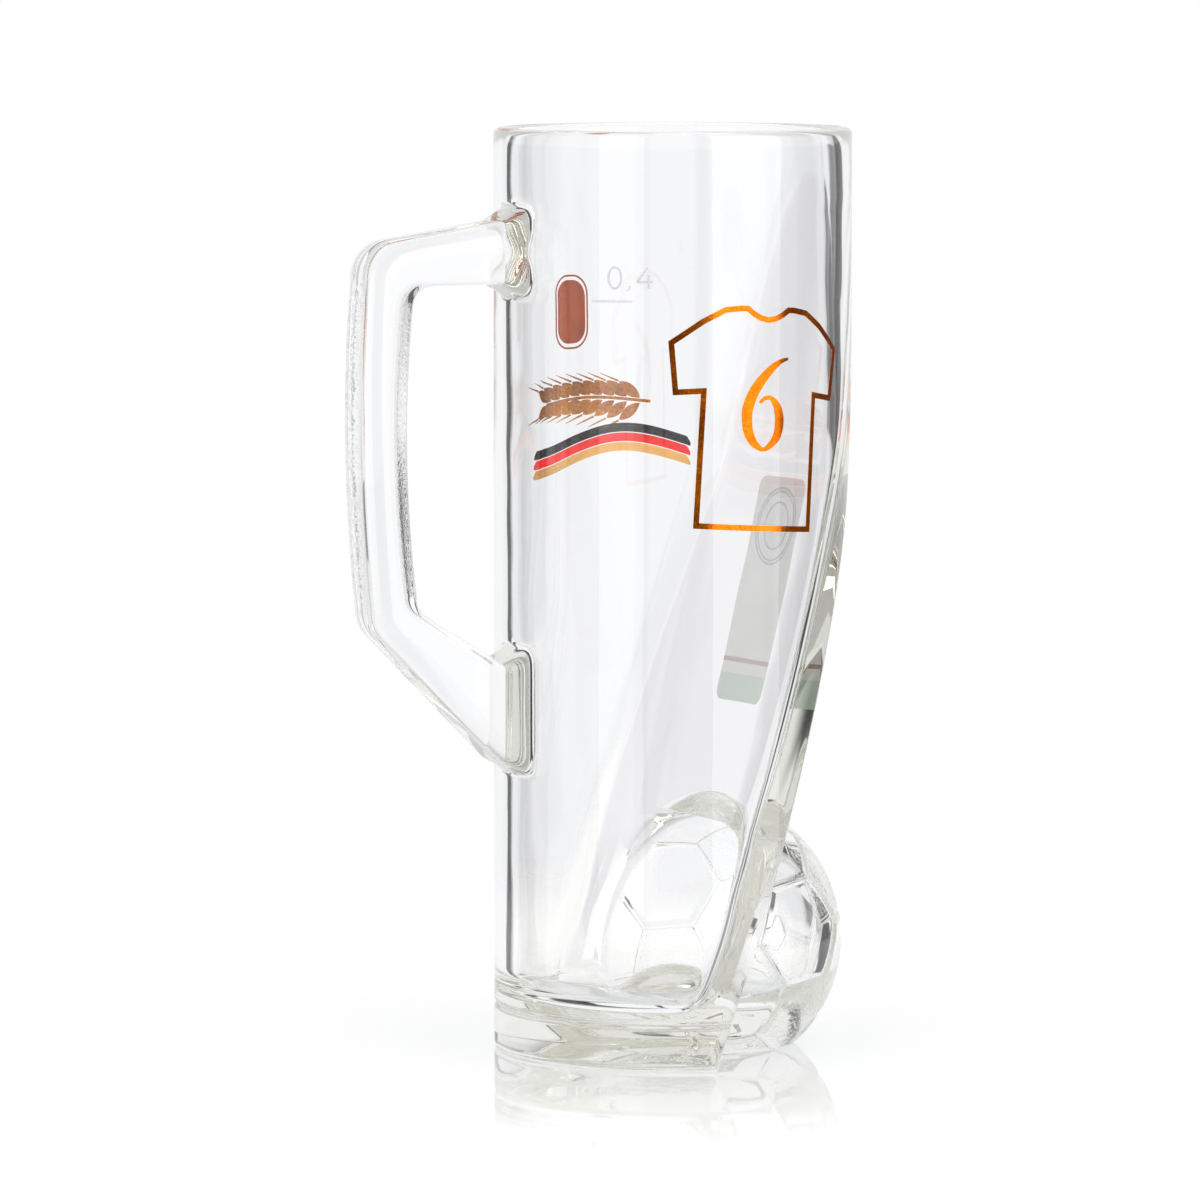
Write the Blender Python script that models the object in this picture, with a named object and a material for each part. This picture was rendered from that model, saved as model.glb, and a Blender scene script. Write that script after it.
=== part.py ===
"""Clear glass beer mug: a tall cylinder cut by a slanted facet, a hollow football swelling out of
the facet's foot, a hot-joined bar handle and fired prints.

Metres, +Z up. The origin is on the mug's axis, on the plane that it stands on. The handle points
along -X and the football along +X.
"""

import math

import bmesh
import bpy
from mathutils import Matrix, Vector

# Body
BODY_RADIUS = 0.038
BODY_HEIGHT = 0.196
WALL = 0.0035
LIP_FLAT = 0.0006
FLOOR = 0.011
FLOOR_FILLET = 0.006
DOME_RADIUS = 0.0095
DOME_HEIGHT = 0.0025

# Foot: a plinth band under a groove, with a shallow recess below
FOOT_HEIGHT = 0.0095
FOOT_EDGE = 0.0012
GROOVE_WIDTH = 0.0016
GROOVE_DEPTH = 0.0009
RECESS_DEPTH = 0.0008
RECESS_MARGIN = 0.006

# Facet: two straight runs joined by a long bend, tilted in towards the foot
FACET_APEX_HEIGHT = 0.1905
FACET_BEND_HEIGHT = 0.115
FACET_UPPER_TILT = math.radians(7.7)
FACET_LOWER_TILT = math.radians(17.7)
FACET_BEND_RADIUS = 0.14
FACET_CROWN_RADIUS = 0.11
FACET_UPPER_WALL = 0.0036
FACET_LOWER_WALL = 0.0055

# Football
BALL_RADIUS = 0.0305
BALL_CENTRE_HEIGHT = 0.0228
BALL_INSET = 0.0009
BALL_WALL = 0.0045
BALL_TURN = math.radians(-51.65)
BALL_PITCH = math.radians(-1.71)
BALL_LEAN = math.radians(24.68)
SEAM_WIDTH = 0.0014
SEAM_DEPTH = 0.0005

# Handle, as seen from the side: heights on the wall and along the bar
HANDLE_REACH = 0.0745
HANDLE_LOWER_REACH = 0.0735
HANDLE_BOW = 0.0018
HANDLE_WIDTH = 0.011
GRIP_DEPTH = 0.0098
UPPER_ARM_TOP = 0.1782
UPPER_ARM_DROP = 0.0058
UPPER_ARM_DEPTH = 0.0144
LOWER_ARM_CORNER = 0.0929
LOWER_ARM_INNER_CORNER = 0.0965
LOWER_ARM_TOP = 0.0785
LOWER_ARM_BOTTOM = 0.0545
OUTER_CORNER_RADIUS = 0.008
INNER_CORNER_RADIUS = 0.005
BAR_EDGE_RADIUS = 0.0012
PAD_FLARE = 0.0028
PAD_SPREAD = 0.001
PAD_LENGTH = 0.0045

# Prints
PRINT_THICKNESS = 0.0003
SHIRT_CENTRE = 0.1365
SHIRT_SHIFT = 0.0002
SHIRT_TURN = math.radians(-3.5)
SHIRT_LINE = 0.0012
SHIRT_HALF = (
    (0.0135, -0.0231), (0.0136, 0.005), (0.0195, 0.0044), (0.021, 0.0146), (0.0146, 0.0194),
    (0.01, 0.022), (0.0065, 0.0225), (0.005, 0.0225), (0.0036, 0.0215), (0.002, 0.0207), (0, 0.0203),
)
NUMBER_STROKE = (
    (0.0055, 0.0124, 0.0006), (0.0036, 0.0118, 0.001), (0.0016, 0.0104, 0.0016), (-0.0007, 0.008, 0.0021),
    (-0.0027, 0.005, 0.0024), (-0.0038, 0.0017, 0.0025), (-0.0038, -0.0009, 0.0024),
    (-0.0033, -0.0032, 0.0022), (-0.0022, -0.0051, 0.0018), (-0.0007, -0.0063, 0.0012),
    (0.0005, -0.0066, 0.0009), (0.002, -0.0057, 0.0014), (0.0035, -0.0038, 0.002),
    (0.004, -0.0012, 0.0022), (0.0037, 0.0012, 0.0021), (0.0028, 0.003, 0.0016), (0.0016, 0.0041, 0.001),
    (0.0003, 0.0041, 0.0009), (-0.0007, 0.0034, 0.0008), (-0.001, 0.003, 0.0005),
)
BADGE_WIDTH = 0.0102
BADGE_HEIGHT = 0.016
BADGE_CORNER = 0.0042
BADGE_CENTRE = 0.1553
BADGE_SHIFT = 0.0062
RIBBON_LENGTH = 0.046
RIBBON_SHIFT = -0.0015
RIBBON_BASE = 0.1222
RIBBON_BAND = 0.0019
RIBBON_WAVE = 0.0026
RIBBON_PERIOD = 0.055
RIBBON_CREST = -0.008
RIBBON_GAP = 0.0004
LABEL_WIDTH = 0.02
LABEL_BOTTOM = 0.072
LABEL_TOP = 0.12
LABEL_CORNER = 0.0025
FILL_HEIGHT = 0.1608
FILL_LENGTH = 0.009
FILL_LINE = 0.0005
FILL_AZIMUTH = math.radians(-139.0)

# Fit and resolution
CLEARANCE = 0.0003
OVERSHOOT = 0.004
BODY_SEGMENTS = 96
POCKET_SEGMENTS = 40
ARC_STEPS = 6
FACET_STEPS = 14
FACET_LEVEL = 0.008
PRINT_STEP = 0.0025
MERGE_DISTANCE = 1e-6
SHARP_ANGLE = math.radians(35.0)

SHIRT_AZIMUTH = math.radians(-90.0)
FAR_AZIMUTH = math.radians(90.0)
GLASS = ("clear_glass", (0.93, 0.95, 0.95, 1.0), 0.02, 0.0, 1.0)
COPPER = ("copper_lustre", (0.62, 0.27, 0.09, 1.0), 0.3, 1.0, 0.0)
BROWN = ("brown_enamel", (0.16, 0.09, 0.06, 1.0), 0.35, 0.0, 0.0)
GOLD = ("gold_enamel", (0.72, 0.42, 0.1, 1.0), 0.3, 0.6, 0.0)
RED = ("red_enamel", (0.55, 0.05, 0.03, 1.0), 0.35, 0.0, 0.0)
BLACK = ("black_enamel", (0.02, 0.02, 0.02, 1.0), 0.35, 0.0, 0.0)
GREY = ("grey_label", (0.55, 0.54, 0.5, 1.0), 0.4, 0.0, 0.0)
WHITE = ("white_mark", (0.85, 0.85, 0.85, 1.0), 0.5, 0.0, 0.0)


def clear_scene():
    """Remove what the file opened with."""
    for old in list(bpy.data.objects):
        bpy.data.objects.remove(old, do_unlink=True)


def finish_material(name, colour, roughness, metallic, transmission):
    """A Principled material, made once for each finish."""
    if name in bpy.data.materials:
        return bpy.data.materials[name]
    made = bpy.data.materials.new(name)
    made.use_nodes = True
    shader = made.node_tree.nodes["Principled BSDF"]
    shader.inputs["Base Color"].default_value = colour
    shader.inputs["Roughness"].default_value = roughness
    shader.inputs["Metallic"].default_value = metallic
    shader.inputs["Transmission Weight"].default_value = transmission
    return made


def add_object(name, shape, finish=None):
    """Link a bmesh as a named object; without a finish it is a hidden cutter."""
    mesh = bpy.data.meshes.new(name)
    shape.to_mesh(mesh)
    shape.free()
    made = bpy.data.objects.new(name, mesh)
    bpy.context.collection.objects.link(made)
    if finish:
        mesh.materials.append(finish_material(*finish))
        mesh.shade_smooth()
        mesh.set_sharp_from_angle(angle=SHARP_ANGLE)
    else:
        made.hide_render = True
        made.display_type = "WIRE"
    return made


def boolean(target, operation, tool):
    """Add an exact Boolean to an object."""
    made = target.modifiers.new(f"{operation.lower()} {tool.name}", "BOOLEAN")
    made.operation = operation
    made.solver = "EXACT"
    made.object = tool


def arc(centre, radius, start, end, steps=ARC_STEPS):
    """Points of a circular arc in a plane, both ends included."""
    turn = [start + (end - start) * i / steps for i in range(steps + 1)]
    return [(centre[0] + radius * math.cos(t), centre[1] + radius * math.sin(t)) for t in turn]


def rounded_corner(before, corner, after, radius, steps=ARC_STEPS):
    """The corner of a polyline, rounded by an arc tangent to both of its sides."""
    corner = Vector(corner)
    to_before = (Vector(before) - corner).normalized()
    to_after = (Vector(after) - corner).normalized()
    half = to_before.angle(to_after) / 2
    centre = corner + (to_before + to_after).normalized() * radius / math.sin(half)
    first = corner + to_before * radius / math.tan(half) - centre
    last = corner + to_after * radius / math.tan(half) - centre
    sweep = first.angle_signed(last)
    turned = [Matrix.Rotation(-sweep * i / steps, 2) @ first for i in range(steps + 1)]
    return [tuple(centre + point) for point in turned]


def turned_solid(profile, segments):
    """A closed solid of revolution from (radius, height) points that start and end on the axis."""
    shape = bmesh.new()
    points = [shape.verts.new((radius, 0, height)) for radius, height in profile]
    edges = [shape.edges.new(pair) for pair in zip(points, points[1:])]
    bmesh.ops.spin(
        shape, geom=points + edges, cent=(0, 0, 0), axis=(0, 0, 1), angle=math.tau, steps=segments
    )
    bmesh.ops.remove_doubles(shape, verts=shape.verts, dist=MERGE_DISTANCE)
    bmesh.ops.recalc_face_normals(shape, faces=shape.faces)
    return shape


def loft(loops):
    """A closed solid through loops of equal length, capped at both ends."""
    shape = bmesh.new()
    rings = [[shape.verts.new(point) for point in loop] for loop in loops]
    count = len(rings[0])
    for near, far in zip(rings, rings[1:]):
        for i in range(count):
            j = (i + 1) % count
            shape.faces.new((near[i], near[j], far[j], far[i]))
    shape.faces.new(rings[0])
    shape.faces.new(rings[-1])
    bmesh.ops.recalc_face_normals(shape, faces=shape.faces)
    return shape


def facet_profile(upper_wall=0.0, lower_wall=0.0):
    """The facet's side view as (x, z) points from foot to rim, moved in by a wall."""
    bend_x = BODY_RADIUS - math.tan(FACET_UPPER_TILT) * (FACET_APEX_HEIGHT - FACET_BEND_HEIGHT)
    upper_slope = math.tan(FACET_UPPER_TILT)
    lower_slope = math.tan(FACET_LOWER_TILT)
    upper_x = bend_x - upper_wall / math.cos(FACET_UPPER_TILT)
    lower_x = bend_x - lower_wall / math.cos(FACET_LOWER_TILT)
    rise = (upper_x - lower_x) / (lower_slope - upper_slope)
    corner = (lower_x + lower_slope * rise, FACET_BEND_HEIGHT + rise)
    low_z = -OVERSHOOT
    high_z = BODY_HEIGHT + OVERSHOOT
    foot = (corner[0] - lower_slope * (corner[1] - low_z), low_z)
    top = (corner[0] + upper_slope * (high_z - corner[1]), high_z)
    return [foot, *rounded_corner(foot, corner, top, FACET_BEND_RADIUS), top]


def facet_x(height):
    """How far out the facet stands at a height."""
    points = facet_profile()
    for (x0, z0), (x1, z1) in zip(points, points[1:]):
        if z0 <= height <= z1:
            return x0 + (x1 - x0) * (height - z0) / (z1 - z0)
    return points[-1][0]


def refined_levels(profile):
    """The facet's side view with its long straight runs divided, so that the crown follows them."""
    levels = [profile[0]]
    for (x0, z0), (x1, z1) in zip(profile, profile[1:]):
        steps = math.ceil((z1 - z0) / FACET_LEVEL)
        for i in range(1, steps + 1):
            levels.append((x0 + (x1 - x0) * i / steps, z0 + (z1 - z0) * i / steps))
    return levels


def facet_crown(across, height):
    """How far the facet swells at a point over the straight line between its two edges."""
    chord = facet_x(height)
    half_squared = max(BODY_RADIUS**2 - chord**2, 0)
    return (half_squared - across**2) / (2 * FACET_CROWN_RADIUS)


def facet_cutter(name, **walls):
    """Everything in front of the facet, or of its inner face: a stack of level outlines."""
    profile = facet_profile(**walls)
    reach = max(x for x, _ in profile) + BODY_RADIUS
    side = BODY_RADIUS + OVERSHOOT
    places = [side * (i / FACET_STEPS - 1) for i in range(2 * FACET_STEPS + 1)]
    loops = []
    for x, z in refined_levels(profile):
        front = [(x + facet_crown(y, z), y, z) for y in places]
        loops.append(front + [(reach, side, z), (reach, -side, z)])
    return add_object(name, loft(loops))


def ball_centre():
    """The football just fits inside the body's radius."""
    return Vector((BODY_RADIUS - BALL_INSET - BALL_RADIUS, 0, BALL_CENTRE_HEIGHT))


def football_blank():
    """A sphere of twelve five-sided and twenty six-sided panels, with sunk seams between them.

    The corners of an icosahedron are cut off a third of the way along its edges. Each panel is inset
    by half a seam, the panels are divided, and every point goes out to the sphere, the seam's middle
    lines less far. The middle of one edge of the icosahedron faces the turn and the pitch, and
    that edge leans from the upright.
    """
    shape = bmesh.new()
    bmesh.ops.create_icosphere(shape, subdivisions=1, radius=BALL_RADIUS)
    shape.edges.ensure_lookup_table()
    ends = [vert.co.normalized() for vert in shape.edges[0].verts]
    middle = (ends[0] + ends[1]).normalized()
    along = (ends[1] - ends[0]).normalized()
    third = 100 / 3
    bmesh.ops.bevel(
        shape, geom=shape.verts[:], offset=third, offset_type="PERCENT", affect="VERTICES", segments=1
    )
    seam = shape.verts.layers.float.new("seam")
    seam_verts = set(shape.verts)
    panels = bmesh.ops.inset_individual(shape, faces=shape.faces[:], thickness=SEAM_WIDTH / 2)
    for vert in shape.verts:
        vert[seam] = 1.0 if vert in seam_verts else 0.0
    rims = set(panels["faces"])
    bmesh.ops.poke(shape, faces=[face for face in shape.faces if face not in rims])
    bmesh.ops.subdivide_edges(shape, edges=shape.edges[:], cuts=1, use_grid_fill=True)
    for vert in shape.verts:
        vert.co = vert.co.normalized() * (BALL_RADIUS - SEAM_DEPTH * vert[seam])

    side = Vector((-math.sin(BALL_TURN), math.cos(BALL_TURN), 0))
    level = Vector((math.cos(BALL_TURN), math.sin(BALL_TURN), 0))
    front = level * math.cos(BALL_PITCH) + Vector((0, 0, math.sin(BALL_PITCH)))
    upright = side * math.sin(BALL_LEAN) + front.cross(side) * math.cos(BALL_LEAN)
    found = Matrix((along, middle, along.cross(middle))).transposed()
    wanted = Matrix((upright, front, upright.cross(front))).transposed()
    place = Matrix.Translation(ball_centre()) @ (wanted @ found.inverted()).to_4x4()
    bmesh.ops.transform(shape, matrix=place, verts=shape.verts)
    cut = bmesh.ops.bisect_plane(
        shape, geom=shape.verts[:] + shape.edges[:] + shape.faces[:],
        plane_co=(0, 0, 0), plane_no=(0, 0, -1), clear_outer=True,
    )
    rim = [part for part in cut["geom_cut"] if isinstance(part, bmesh.types.BMEdge)]
    bmesh.ops.edgeloop_fill(shape, edges=rim)
    bmesh.ops.triangulate(shape, faces=shape.faces)
    bmesh.ops.recalc_face_normals(shape, faces=shape.faces)
    return shape


def vessel_blank():
    """The body's outside: foot edge, plinth band, groove, wall and rounded lip."""
    lip = (WALL - LIP_FLAT) / 2
    groove_low = FOOT_HEIGHT - GROOVE_WIDTH / 2
    groove_high = FOOT_HEIGHT + GROOVE_WIDTH / 2
    profile = [(0, BODY_HEIGHT)]
    profile += arc((BODY_RADIUS - lip, BODY_HEIGHT - lip), lip, math.pi / 2, 0)
    profile += [
        (BODY_RADIUS, groove_high),
        (BODY_RADIUS - GROOVE_DEPTH, FOOT_HEIGHT),
        (BODY_RADIUS, groove_low),
    ]
    profile += arc((BODY_RADIUS - FOOT_EDGE, FOOT_EDGE), FOOT_EDGE, 0, -math.pi / 2)
    profile += [(0, 0)]
    return turned_solid(profile, BODY_SEGMENTS)


def cavity_blank():
    """The body's inside before its facet: flared lip, wall, rounded floor corner and centre dome."""
    lip = (WALL - LIP_FLAT) / 2
    inner = BODY_RADIUS - WALL
    dome_sphere = (DOME_RADIUS**2 + DOME_HEIGHT**2) / (2 * DOME_HEIGHT)
    dome_angle = math.asin(DOME_RADIUS / dome_sphere)
    dome_centre = (0, FLOOR + DOME_HEIGHT - dome_sphere)
    profile = [(0, BODY_HEIGHT + OVERSHOOT), (inner + lip, BODY_HEIGHT + OVERSHOOT)]
    profile += arc((inner + lip, BODY_HEIGHT - lip), lip, math.pi / 2, math.pi)
    profile += arc((inner - FLOOR_FILLET, FLOOR + FLOOR_FILLET), FLOOR_FILLET, 0, -math.pi / 2)
    profile += arc(dome_centre, dome_sphere, math.pi / 2 - dome_angle, math.pi / 2)
    profile[-1] = (0, profile[-1][1])
    return turned_solid(profile, BODY_SEGMENTS)


def pocket_blank():
    """The hollow inside the football, level with the floor below."""
    radius = BALL_RADIUS - BALL_WALL
    drop = FLOOR - BALL_CENTRE_HEIGHT
    low = max(math.asin(max(drop / radius, -1.0)), -math.pi / 2)
    profile = arc((0, 0), radius, math.pi / 2, low, 2 * ARC_STEPS)
    profile[0] = (0, radius)
    profile.append((0, profile[-1][1]))
    shape = turned_solid(profile, POCKET_SEGMENTS)
    bmesh.ops.translate(shape, verts=shape.verts, vec=ball_centre())
    return shape


def recess_blank():
    """The shallow recess under the foot: a circle segment a margin inside the foot's outline."""
    radius = BODY_RADIUS - RECESS_MARGIN
    chord = facet_x(0) - RECESS_MARGIN
    half = math.acos(chord / radius)
    rim = arc((0, 0), radius, half, math.tau - half, 4 * ARC_STEPS)
    low = [(x, y, -OVERSHOOT) for x, y in rim]
    high = [(x, y, RECESS_DEPTH) for x, y in rim]
    return loft([low, high])


def make_body():
    """The glass vessel: turned, cut by the facet, joined to the football, then hollowed."""
    body = add_object("glass_body", vessel_blank(), GLASS)
    boolean(body, "DIFFERENCE", facet_cutter("facet_cutter"))
    boolean(body, "UNION", add_object("football_blank", football_blank()))
    cavity = add_object("cavity_cutter", cavity_blank())
    walls = {"upper_wall": FACET_UPPER_WALL, "lower_wall": FACET_LOWER_WALL}
    boolean(cavity, "DIFFERENCE", facet_cutter("inner_facet_cutter", **walls))
    boolean(cavity, "UNION", add_object("pocket_cutter", pocket_blank()))
    boolean(body, "DIFFERENCE", cavity)
    recess = add_object("recess_cutter", recess_blank())
    boolean(body, "DIFFERENCE", recess)


def level_at(start, end, x):
    """The point of a straight run at a given x."""
    share = (x - start[0]) / (end[0] - start[0])
    return (x, start[1] + (end[1] - start[1]) * share)


def handle_rails():
    """The bar's outer and inner edges in the XZ plane, station by station.

    Both rails have the same runs: pad, upper arm, corner, bowed grip, corner, lower arm, pad.
    """
    wall = -BODY_RADIUS + OVERSHOOT
    neck = -BODY_RADIUS - PAD_LENGTH
    upper_corner = UPPER_ARM_TOP - UPPER_ARM_DROP
    outer_turns = [
        (wall, UPPER_ARM_TOP), (-HANDLE_REACH, upper_corner),
        (-HANDLE_LOWER_REACH, LOWER_ARM_CORNER), (wall, LOWER_ARM_BOTTOM),
    ]
    upper_inner_x = -HANDLE_REACH + GRIP_DEPTH
    lower_inner_x = -HANDLE_LOWER_REACH + GRIP_DEPTH
    upper_under = UPPER_ARM_TOP - UPPER_ARM_DEPTH
    inner_turns = [
        (wall, upper_under), (upper_inner_x, upper_under),
        (lower_inner_x, LOWER_ARM_INNER_CORNER), (wall, LOWER_ARM_TOP),
    ]
    rails = []
    for turns, radius, flare in (
        (outer_turns, OUTER_CORNER_RADIUS, PAD_FLARE), (inner_turns, INNER_CORNER_RADIUS, -PAD_FLARE)
    ):
        upper = rounded_corner(turns[0], turns[1], turns[2], radius)
        lower = rounded_corner(turns[1], turns[2], turns[3], radius)
        grip = []
        for i in range(1, ARC_STEPS):
            share = i / ARC_STEPS
            bow = HANDLE_BOW * 4 * share * (1 - share)
            place = Vector(upper[-1]).lerp(Vector(lower[0]), share)
            grip.append((place.x - bow, place.y))
        upper_neck = level_at(turns[0], upper[0], neck)
        lower_neck = level_at(turns[3], lower[-1], neck)
        rail = [(wall, upper_neck[1] + flare), (-BODY_RADIUS, upper_neck[1] + flare), upper_neck]
        rail += upper + grip + lower
        rail += [lower_neck, (-BODY_RADIUS, lower_neck[1] - flare), (wall, lower_neck[1] - flare)]
        rails.append(rail)
    return rails


def bar_section(outer, inner, width):
    """A rounded rectangle of a given width whose height runs between two edge points."""
    middle = (Vector(outer) + Vector(inner)) / 2
    across = Vector(outer) - Vector(inner)
    half_height = across.length / 2
    half_width = width / 2
    across.normalize()
    edge = min(BAR_EDGE_RADIUS, half_height / 2, half_width / 2)
    corners = [
        ((half_width - edge, half_height - edge), 0.0),
        ((edge - half_width, half_height - edge), math.pi / 2),
        ((edge - half_width, edge - half_height), math.pi),
        ((half_width - edge, edge - half_height), 3 * math.pi / 2),
    ]
    loop = []
    for centre, start in corners:
        for side, up in arc(centre, edge, start, start + math.pi / 2, ARC_STEPS // 2):
            place = middle + across * up
            loop.append((place.x, side, place.y))
    return loop


def make_handle():
    """The bar handle, lofted between its rails and cut to the wall with a clearance."""
    outer, inner = handle_rails()
    pad_width = HANDLE_WIDTH + 2 * PAD_SPREAD
    last = len(outer) - 1
    loops = []
    for i, (out_point, in_point) in enumerate(zip(outer, inner)):
        on_pad = i in (0, 1, last - 1, last)
        loops.append(bar_section(out_point, in_point, pad_width if on_pad else HANDLE_WIDTH))
    handle = add_object("handle", loft(loops), GLASS)
    reach = BODY_RADIUS + CLEARANCE
    seat = turned_solid(
        [(0, BODY_HEIGHT), (reach, BODY_HEIGHT), (reach, 0), (0, 0)], BODY_SEGMENTS
    )
    boolean(handle, "DIFFERENCE", add_object("handle_seat_cutter", seat))


def on_wall(azimuth, across, height):
    """A point just off the wall; across is measured round the wall, to the right seen from outside."""
    angle = azimuth + across / BODY_RADIUS
    radius = BODY_RADIUS + CLEARANCE
    return (radius * math.cos(angle), radius * math.sin(angle), height)


def on_facet(across, height):
    """A point just off the facet; across is along Y."""
    off = CLEARANCE / math.cos(FACET_LOWER_TILT)
    return (facet_x(height) + facet_crown(across, height) + off, across, height)


def thin_print(name, quads, finish):
    """A fired print: a sheet of quads, given its thickness outwards."""
    shape = bmesh.new()
    for quad in quads:
        shape.faces.new([shape.verts.new(point) for point in quad])
    bmesh.ops.remove_doubles(shape, verts=shape.verts, dist=MERGE_DISTANCE)
    made = add_object(name, shape, finish)
    thick = made.modifiers.new("thickness", "SOLIDIFY")
    thick.thickness = PRINT_THICKNESS
    thick.offset = 1.0


def strip_quads(low, high, closed=False):
    """Quads between two rows of points, the low row first so that they face out."""
    count = len(low) if closed else len(low) - 1
    following = [(i + 1) % len(low) for i in range(count)]
    return [(low[i], low[j], high[j], high[i]) for i, j in zip(range(count), following)]


def divided(points):
    """A closed outline with its long sides divided, so that it bends with the wall."""
    dense = []
    for start, end in zip(points, points[1:] + points[:1]):
        length = (Vector(end) - Vector(start)).length
        steps = max(1, math.ceil(length / PRINT_STEP))
        dense += [tuple(Vector(start).lerp(Vector(end), i / steps)) for i in range(steps)]
    return dense


def grown(points, distance):
    """A closed outline, anticlockwise, moved out by a distance with mitred corners."""
    moved = []
    for before, here, after in zip(points[-1:] + points[:-1], points, points[1:] + points[:1]):
        first = (Vector(here) - Vector(before)).normalized()
        second = (Vector(after) - Vector(here)).normalized()
        normals = [Vector((side.y, -side.x)) for side in (first, second)]
        mitre = normals[0] + normals[1]
        moved.append(tuple(Vector(here) + mitre * distance / (1 + normals[0].dot(normals[1]))))
    return moved


def on_shirt(across, rise):
    """A point of the shirt print, which is turned a little on the wall."""
    turned = Matrix.Rotation(SHIRT_TURN, 2) @ Vector((across, rise))
    return on_wall(SHIRT_AZIMUTH, SHIRT_SHIFT + turned.x, SHIRT_CENTRE + turned.y)


def make_shirt_outline():
    """A plain football shirt in outline: hem, sleeves, round shoulders and neck."""
    left = [(-across, rise) for across, rise in reversed(SHIRT_HALF[:-1])]
    outline = divided([*SHIRT_HALF, *left])
    inner, outer = (
        [on_shirt(*point) for point in grown(outline, side * SHIRT_LINE / 2)] for side in (-1, 1)
    )
    thin_print("shirt_outline", strip_quads(outer, inner, closed=True), COPPER)


def make_shirt_number():
    """A plain 6, drawn as one pen stroke of changing width."""
    path = [Vector((across, rise)) for across, rise, _ in NUMBER_STROKE]
    rows = ([], [])
    for i, (_, _, width) in enumerate(NUMBER_STROKE):
        along = path[min(i + 1, len(path) - 1)] - path[max(i - 1, 0)]
        half = along.orthogonal().normalized() * width / 2
        rows[0].append(on_shirt(*(path[i] + half)))
        rows[1].append(on_shirt(*(path[i] - half)))
    thin_print("shirt_number", strip_quads(rows[1], rows[0]), COPPER)


def rounded_rows(width, height, corner, steps):
    """Half-widths of a rounded rectangle at rising heights, measured from its foot."""
    ends = [corner - corner * math.cos(math.pi / 2 * i / ARC_STEPS) for i in range(ARC_STEPS + 1)]
    levels = ends + [corner + (height - 2 * corner) * i / steps for i in range(1, steps)]
    levels += [height - level for level in reversed(ends)]
    rows = []
    for level in levels:
        short = max(corner - level, level - (height - corner), 0.0)
        rows.append((width / 2 - corner + math.sqrt(max(corner**2 - short**2, 0.0)), level))
    return rows


def make_badge():
    """A plain oblong with round ends."""
    quads = []
    columns = ARC_STEPS
    rows = rounded_rows(BADGE_WIDTH, BADGE_HEIGHT, BADGE_CORNER, ARC_STEPS)
    base = BADGE_CENTRE - BADGE_HEIGHT / 2
    grid = []
    for half, level in rows:
        sides = [half * (2 * i / columns - 1) + BADGE_SHIFT for i in range(columns + 1)]
        grid.append([on_wall(FAR_AZIMUTH, u, base + level) for u in sides])
    for low, high in zip(grid, grid[1:]):
        quads += strip_quads(low, high)
    thin_print("badge", quads, BROWN)


def make_ribbons():
    """Three waved bands, one above the other."""
    steps = math.ceil(RIBBON_LENGTH / PRINT_STEP)
    for i, (name, finish) in enumerate((("gold", GOLD), ("red", RED), ("black", BLACK))):
        base = RIBBON_BASE + i * (RIBBON_BAND + RIBBON_GAP)
        low = []
        high = []
        for step in range(steps + 1):
            across = RIBBON_SHIFT + RIBBON_LENGTH * (step / steps - 0.5)
            wave = RIBBON_WAVE * math.cos(math.tau * (across - RIBBON_CREST) / RIBBON_PERIOD)
            low.append(on_wall(FAR_AZIMUTH, across, base + wave))
            high.append(on_wall(FAR_AZIMUTH, across, base + wave + RIBBON_BAND))
        thin_print(f"ribbon_{name}", strip_quads(low, high), finish)


def make_label():
    """A rounded panel that follows the facet over its bend."""
    height = LABEL_TOP - LABEL_BOTTOM
    steps = math.ceil(height / PRINT_STEP)
    rows = rounded_rows(LABEL_WIDTH, height, LABEL_CORNER, steps)
    columns = math.ceil(LABEL_WIDTH / PRINT_STEP)
    runs = []
    for i in range(columns + 1):
        share = 2 * i / columns - 1
        runs.append([on_facet(share * half, LABEL_BOTTOM + level) for half, level in rows])
    quads = []
    for left, right in zip(runs, runs[1:]):
        quads += strip_quads(right, left)
    thin_print("label_panel", quads, GREY)


def make_fill_line():
    """The short level line that marks the filled height."""
    steps = math.ceil(FILL_LENGTH / PRINT_STEP)
    places = [FILL_LENGTH * (i / steps - 0.5) for i in range(steps + 1)]
    low = [on_wall(FILL_AZIMUTH, u, FILL_HEIGHT) for u in places]
    high = [on_wall(FILL_AZIMUTH, u, FILL_HEIGHT + FILL_LINE) for u in places]
    thin_print("fill_line", strip_quads(low, high), WHITE)


clear_scene()
make_body()
make_handle()
make_shirt_outline()
make_shirt_number()
make_badge()
make_ribbons()
make_label()
make_fill_line()
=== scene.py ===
"""Looks of the clear glass beer mug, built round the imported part.

The body and the handle become one fused glass surface, because the real handle is joined hot. The
prints become thin films that lie on it. All surfaces are numpy grids. Metres, in the part's frame:
+Z up, the handle along -X, the football along +X.
"""

import math

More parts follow.
